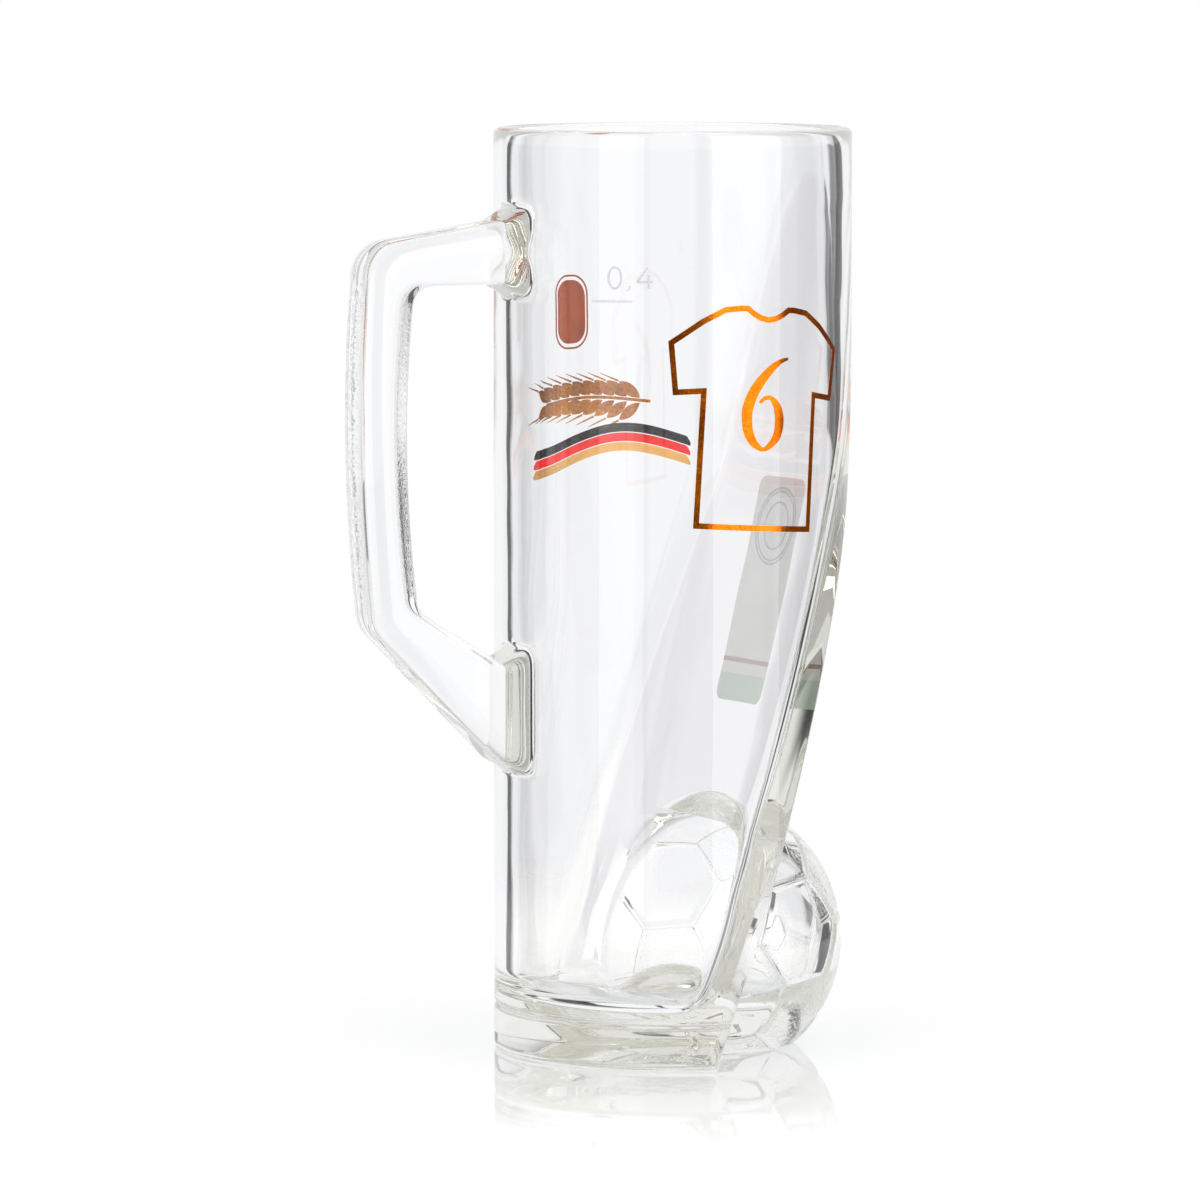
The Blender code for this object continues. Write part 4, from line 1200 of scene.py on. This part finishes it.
def clear_glass():
    """Clear glass, faintly olive in depth, with painted shade on the facet: a grey tint in its colour
    that darkens it.

    Its relief adds a stipple where the mould was rough, a fine line along the football's seams and
    slow waves. Shadows, diffuse rays and rays long trapped in the glass go straight through.
    """
    material, nodes, out = new_material("clear_glass")
    place = nodes.place()
    ball, grip, painted_shade = (
        nodes.add("Attribute", attribute_name=name).outputs["Fac"] for name in ("ball", "grip", "painted_shade")
    )
    panels = nodes.add("Group", {"Place": place}, node_tree=PANELS).outputs
    clear_of_seam = nodes.ramp(panels["Seam"], SEAM_LINE, 2 * SEAM_LINE)
    stippled = nodes.math("MAXIMUM", grip, nodes.times(panels["Five-sided"], clear_of_seam, ball))
    dots = nodes.times(nodes.noise(place, STIPPLE_SCALE, detail=2.0), stippled, STIPPLE_DEPTH)
    groove = nodes.times(nodes.ramp(panels["Seam"], 0.0, SEAM_LINE, -SEAM_LINE_DEPTH, 0.0), ball)
    waves = nodes.times(nodes.noise(place, WAVE_SCALE, detail=1.0), WAVE_DEPTH)
    height = nodes.math("ADD", nodes.math("ADD", dots, groove), waves)
    bending = nodes.out("BsdfPrincipled", {
        # The facet's painted shade tints the glass grey there
        "Base Color": nodes.tint(painted_shade, PLAIN, FACET_PAINTED_SHADE), "Transmission Weight": 1.0, "IOR": GLASS_IOR,
        "Roughness": nodes.ramp(stippled, 0.0, 1.0, 0.0, STIPPLE_ROUGHNESS, "LINEAR"),
        "Normal": nodes.out("Bump", {"Height": height, "Strength": 1.0, "Distance": 1.0}),
    })
    see_through = nodes.out("BsdfTransparent", {"Color": SEE_THROUGH})
    ray = nodes.add("LightPath").outputs
    unbent = nodes.math("MAXIMUM", ray["Is Shadow Ray"], ray["Is Diffuse Ray"])
    trapped = nodes.math("GREATER_THAN", ray["Ray Depth"], TRAPPED_DEPTH)
    surface = nodes.blend(nodes.math("MAXIMUM", unbent, trapped), bending, see_through)
    depth = {"Color": GLASS_DEPTH_COLOUR, "Density": GLASS_DENSITY}
    nodes.feed(out["Surface"], surface)
    nodes.feed(out["Volume"], nodes.out("VolumeAbsorption", depth))
    return material


def label_film():
    """The facet's pale film: see-through grey, with a green band and a brown line near its foot and
    thin rings near its head."""
    material, nodes, out = new_material("grey_label")
    split = nodes.add("SeparateXYZ", {0: nodes.place()}).outputs
    grain = nodes.add("Group", {"Grain": LABEL_GRAIN, "Blotch": LABEL_BLOTCH}, node_tree=GRAIN).outputs
    up = nodes.ramp(split["Z"], LABEL_BOTTOM, LABEL_TOP, course="LINEAR")
    bands = nodes.add("ValToRGB", {0: up})
    bands.color_ramp.interpolation = "CONSTANT"
    stops = bands.color_ramp.elements
    for i, (position, colour) in enumerate(LABEL_BANDS):
        stop = stops[i] if i < len(stops) else stops.new(position)
        stop.position = position
        stop.color = colour
    flat = nodes.out("CombineXYZ", {"Y": split["Y"], "Z": split["Z"]})
    away = nodes.vector("DISTANCE", {0: flat, 1: (0, 0, RING_HEIGHT)}, "Value")
    marks = 0.0
    for radius in RINGS:
        off = nodes.math("ABSOLUTE", nodes.math("SUBTRACT", away, radius))
        marks = nodes.math("MAXIMUM", nodes.ramp(off, RING_CORE, RING_LINE, 1.0, 0.0), marks)
    ringed = nodes.tint(marks, bands.outputs[0], RING_COLOUR)
    nodes.feed(out["Surface"], nodes.out("BsdfPrincipled", {
        "Base Color": nodes.tint(LABEL_MOTTLE, ringed, grain["Tone"], "MULTIPLY"),
        "Roughness": LABEL_ROUGHNESS, "Alpha": LABEL_ALPHA,
    }))
    return material


finishes = {name: fired_print(name, *values) for name, values in FIRED_PRINTS.items()}
finishes["clear_glass"] = clear_glass()
finishes["grey_label"] = label_film()
for piece, finish in (
    (glass, "clear_glass"), (shirt, "copper_lustre"), (numeral, "copper_lustre"),
    (barley, "barley_lustre"), (badge, "brown_enamel"), (ribbon_gold, "gold_enamel"),
    (ribbon_red, "red_enamel"), (ribbon_black, "black_enamel"), (label, "grey_label"),
    (fill_mark, "white_mark"),
):
    wear(piece, finishes[finish])

# Camera
VIEW_AZIMUTH = math.radians(-29)
VIEW_DISTANCE = 1.59
VIEW_HEIGHT = 0.24
AIM_ASIDE = -0.0154
AIM_HEIGHT = 0.0954
LENS = 225.0
SENSOR = 36.0
CLIP_START = 0.01

# Floor that the mug stands on
STAGE_RADIUS = 0.34
STAGE_FADE = 0.2
STAGE_SIDES = 128
STAGE_DROP = 0.0001
STAGE_COLOUR = (0.94, 0.94, 0.94, 1)
STAGE_IOR = 1.5
SHINE = 1.35
SHINE_ROUGHNESS = 0.03
SHINE_NEAR = 0.05
SHINE_FAR = 0.2

# Lamps: azimuth, half angle seen from the axis, distance and radiance
SOFTBOXES = ((-71.2, 23.2, 0.95, 1.7), (-152.0, 14.4, 0.95, 1.5))
SOFTBOX_TOP = 1.1
SOFTBOX_BOTTOM = -0.4

# Surroundings. A gap is an azimuth, a core and a reach to both sides in degrees, and its level.
DARK_GAPS = (
    (100.5, 3.5, 6.0, 0.05), (20.0, 8.0, 11.0, 0.06), (140.5, 3.5, 6.0, 0.05),
    (219.5, 3.5, 6.0, 0.05), (344.0, 9.0, 13.0, 0.35), (310.0, 2.0, 5.0, 0.5),
)
GRIP_GAP = (128.0, 9.0, 16.0, 0.05)
GRIP_RISE = (0.06, 0.14)
WALL_GAP = (29.0, 12.0, 16.0, 0.06)
WALL_RISE = (-0.115, -0.105, -0.015, -0.005)
WALL_DEPTH = 2.5
PANEL_HEAD = (0.08, 0.3)
PANEL_DIM = 0.75
STRIPES = 12.0
STRIPE_AZIMUTH = math.radians(61)
STRIPE_LEVELS = (0.95, 1.0)
BACKDROP = (0.481, 0.868, -0.12)
FRAME_INNER = [math.cos(math.radians(turn)) for turn in (54, 47)]
FRAME_OUTER = [math.cos(math.radians(turn)) for turn in (74, 66)]
FRAME_RISE = (-0.3, -0.2, 0.1, 0.2)
FRAME_DIM = 0.35
BENT_HEAD = (0.25, 0.6)
BENT_DIM = 0.4
MIRROR_RISE = (-0.005, 0.02)
MIRROR_LEVELS = (0.16, 0.95)
MIRROR_AHEAD = (0.6, 0.85)
OFTEN = (1.2, 1.8)
OFTEN_BENT = 0.9
OFTEN_MIRRORED = 0.7
LAVENDER = (0.97, 0.975, 1.0, 1.0)


def add_camera():
    """The camera at the photograph's angle, aimed a little to the handle's side of the axis."""
    right = Vector((math.cos(VIEW_AZIMUTH), math.sin(VIEW_AZIMUTH), 0))
    back = Vector((math.sin(VIEW_AZIMUTH), -math.cos(VIEW_AZIMUTH), 0))
    aim = right * AIM_ASIDE + Vector((0, 0, AIM_HEIGHT))
    lens = bpy.data.cameras.new("camera")
    lens.lens = LENS
    lens.sensor_width = SENSOR
    lens.clip_start = CLIP_START
    camera = bpy.data.objects.new("camera", lens)
    camera.location = right * AIM_ASIDE + back * VIEW_DISTANCE + Vector((0, 0, VIEW_HEIGHT))
    camera.rotation_euler = (aim - camera.location).to_track_quat("-Z", "Y").to_euler()
    bpy.context.collection.objects.link(camera)
    bpy.context.scene.camera = camera


def add_floor():
    """A round pale floor under the mug, one flat face. It mirrors near the mug and fades out to its
    rim, and rays that were reflected inside the glass pass it."""
    turn = np.linspace(0, 2 * math.pi, STAGE_SIDES, endpoint=False)
    ring = np.stack([np.cos(turn), np.sin(turn), np.zeros(STAGE_SIDES)], 1) * STAGE_RADIUS
    mesh = bpy.data.meshes.new("floor")
    mesh.from_pydata(ring.tolist(), [], [list(range(STAGE_SIDES))])
    floor = bpy.data.objects.new("floor", mesh)
    floor.location.z = -STAGE_DROP
    bpy.context.collection.objects.link(floor)
    material, nodes, out = new_material("pale_floor")
    away = nodes.vector("LENGTH", {0: nodes.place()}, "Value")
    mirror = nodes.out("Fresnel", {"IOR": STAGE_IOR})
    strong = nodes.math("MINIMUM", nodes.times(mirror, SHINE), 1.0)
    shine = nodes.times(strong, nodes.ramp(away, SHINE_NEAR, SHINE_FAR, 1.0, 0.0))
    dull = nodes.out("BsdfDiffuse", {"Color": STAGE_COLOUR})
    bright = nodes.out("BsdfGlossy", {"Color": PLAIN, "Roughness": SHINE_ROUGHNESS})
    ray = nodes.add("LightPath").outputs
    inside = nodes.times(ray["Is Transmission Ray"], ray["Glossy Depth"])
    gone = nodes.math("MAXIMUM", nodes.ramp(away, STAGE_FADE, STAGE_RADIUS), inside)
    seen = nodes.blend(shine, dull, bright)
    nodes.feed(out["Surface"], nodes.blend(gone, seen, nodes.out("BsdfTransparent")))
    wear(floor, material)


def add_softbox(azimuth, half_angle, distance, radiance):
    """A tall lamp that faces the mug, as wide as it looks from the axis."""
    turn = math.radians(azimuth)
    lamp = bpy.data.lights.new("softbox", "AREA")
    lamp.shape = "RECTANGLE"
    lamp.size = 2 * distance * math.tan(math.radians(half_angle))
    lamp.size_y = SOFTBOX_TOP - SOFTBOX_BOTTOM
    lamp.energy = radiance * math.pi * lamp.size * lamp.size_y
    made = bpy.data.objects.new("softbox", lamp)
    middle = (SOFTBOX_TOP + SOFTBOX_BOTTOM) / 2
    made.location = (distance * math.cos(turn), distance * math.sin(turn), middle)
    made.rotation_euler = (math.pi / 2, 0, turn + math.pi / 2)
    made.visible_camera = False
    made.visible_transmission = False
    bpy.context.collection.objects.link(made)


def add_world():
    """White surroundings, with the dark edges that a studio's panels give to glass.

    A ray that goes straight through the glass meets faint upright stripes. A dim frame lies round
    the backdrop in a belt of the ray's rise, and where both walls are passed there are one dark gap
    and a dim head. A ray that was reflected in the glass meets dark gaps and a dim head. A mirrored
    ray meets white above the floor and dim below it, but white far ahead. All others meet white.
    """
    world = bpy.data.worlds.new("studio")
    bpy.context.scene.world = world
    world.use_nodes = True
    world.node_tree.nodes.clear()
    nodes = Nodes(world.node_tree)
    way = nodes.add("TexCoord").outputs["Generated"]
    split = nodes.add("SeparateXYZ", {0: way}).outputs
    rise = split["Z"]
    turn = nodes.math("ARCTAN2", split["Y"], split["X"])
    ahead = nodes.vector("DOT_PRODUCT", {0: way, 1: BACKDROP}, "Value")
    ray = nodes.add("LightPath").outputs

    def shut(gap, core, reach, dim):
        """The level across a dark gap: dim about its azimuth, and whole beyond its reach."""
        aside = nodes.math("COSINE", nodes.math("SUBTRACT", turn, math.radians(gap)))
        edge, full = (math.cos(math.radians(half)) for half in (reach, core))
        return nodes.ramp(aside, edge, full, 1.0, dim)

    def belt(low, low_full, high_full, high):
        """A share that is whole between two heights of the ray's rise, and none beyond them."""
        return nodes.times(nodes.ramp(rise, low, low_full), nodes.ramp(rise, high, high_full))

    def dimmed(share, level, dim):
        """A level that goes over to its product with a dim one as a share rises."""
        return nodes.mix(share, level, nodes.times(level, dim))

    fold = nodes.times(nodes.math("SUBTRACT", turn, STRIPE_AZIMUTH), STRIPES)
    straight = nodes.ramp(nodes.math("COSINE", fold), -1, 1, *STRIPE_LEVELS)
    beyond = nodes.ramp(ahead, *FRAME_OUTER, 1.0, 0.0)
    off_frame = nodes.math("MAXIMUM", nodes.ramp(ahead, *FRAME_INNER), beyond)
    framed = nodes.ramp(off_frame, 0.0, 1.0, FRAME_DIM, 1.0)
    straight = dimmed(belt(*FRAME_RISE), straight, framed)
    both_walls = nodes.math("GREATER_THAN", ray["Transmission Depth"], WALL_DEPTH)
    straight = dimmed(nodes.times(both_walls, belt(*WALL_RISE)), straight, shut(*WALL_GAP))
    straight = dimmed(both_walls, straight, nodes.ramp(rise, *PANEL_HEAD, 1.0, PANEL_DIM))
    bent = nodes.ramp(rise, *BENT_HEAD, 1.0, BENT_DIM)
    for gap in DARK_GAPS:
        bent = nodes.times(bent, shut(*gap))
    bent = dimmed(nodes.ramp(rise, *GRIP_RISE, 1.0, 0.0), bent, shut(*GRIP_GAP))
    mirrored = nodes.ramp(rise, *MIRROR_RISE, *MIRROR_LEVELS)
    far_ahead = nodes.ramp(ahead, *MIRROR_AHEAD, 0.0, MIRROR_LEVELS[1])
    mirrored = nodes.math("MAXIMUM", mirrored, far_ahead)
    reflected = nodes.math("MINIMUM", ray["Glossy Depth"], 1.0)
    often = nodes.ramp(ray["Glossy Depth"], *OFTEN)
    through = nodes.mix(reflected, straight, nodes.mix(often, bent, OFTEN_BENT))
    mirrored = nodes.mix(often, mirrored, OFTEN_MIRRORED)
    level = 1.0
    for flag, met in (
        ("Is Glossy Ray", mirrored), ("Is Transmission Ray", through), ("Is Camera Ray", 1.0),
    ):
        level = nodes.mix(ray[flag], level, met)
    colour = nodes.tint(ray["Is Transmission Ray"], PLAIN, LAVENDER)
    light = nodes.out("Background", {"Color": colour, "Strength": level})
    nodes.feed(nodes.add("OutputWorld").inputs["Surface"], light)


add_camera()
add_floor()
for softbox in SOFTBOXES:
    add_softbox(*softbox)
add_world()
scene = bpy.context.scene
scene.view_settings.view_transform = "Standard"
scene.cycles.max_bounces = 32
scene.cycles.transmission_bounces = 32
scene.cycles.glossy_bounces = 16
scene.cycles.transparent_max_bounces = 32
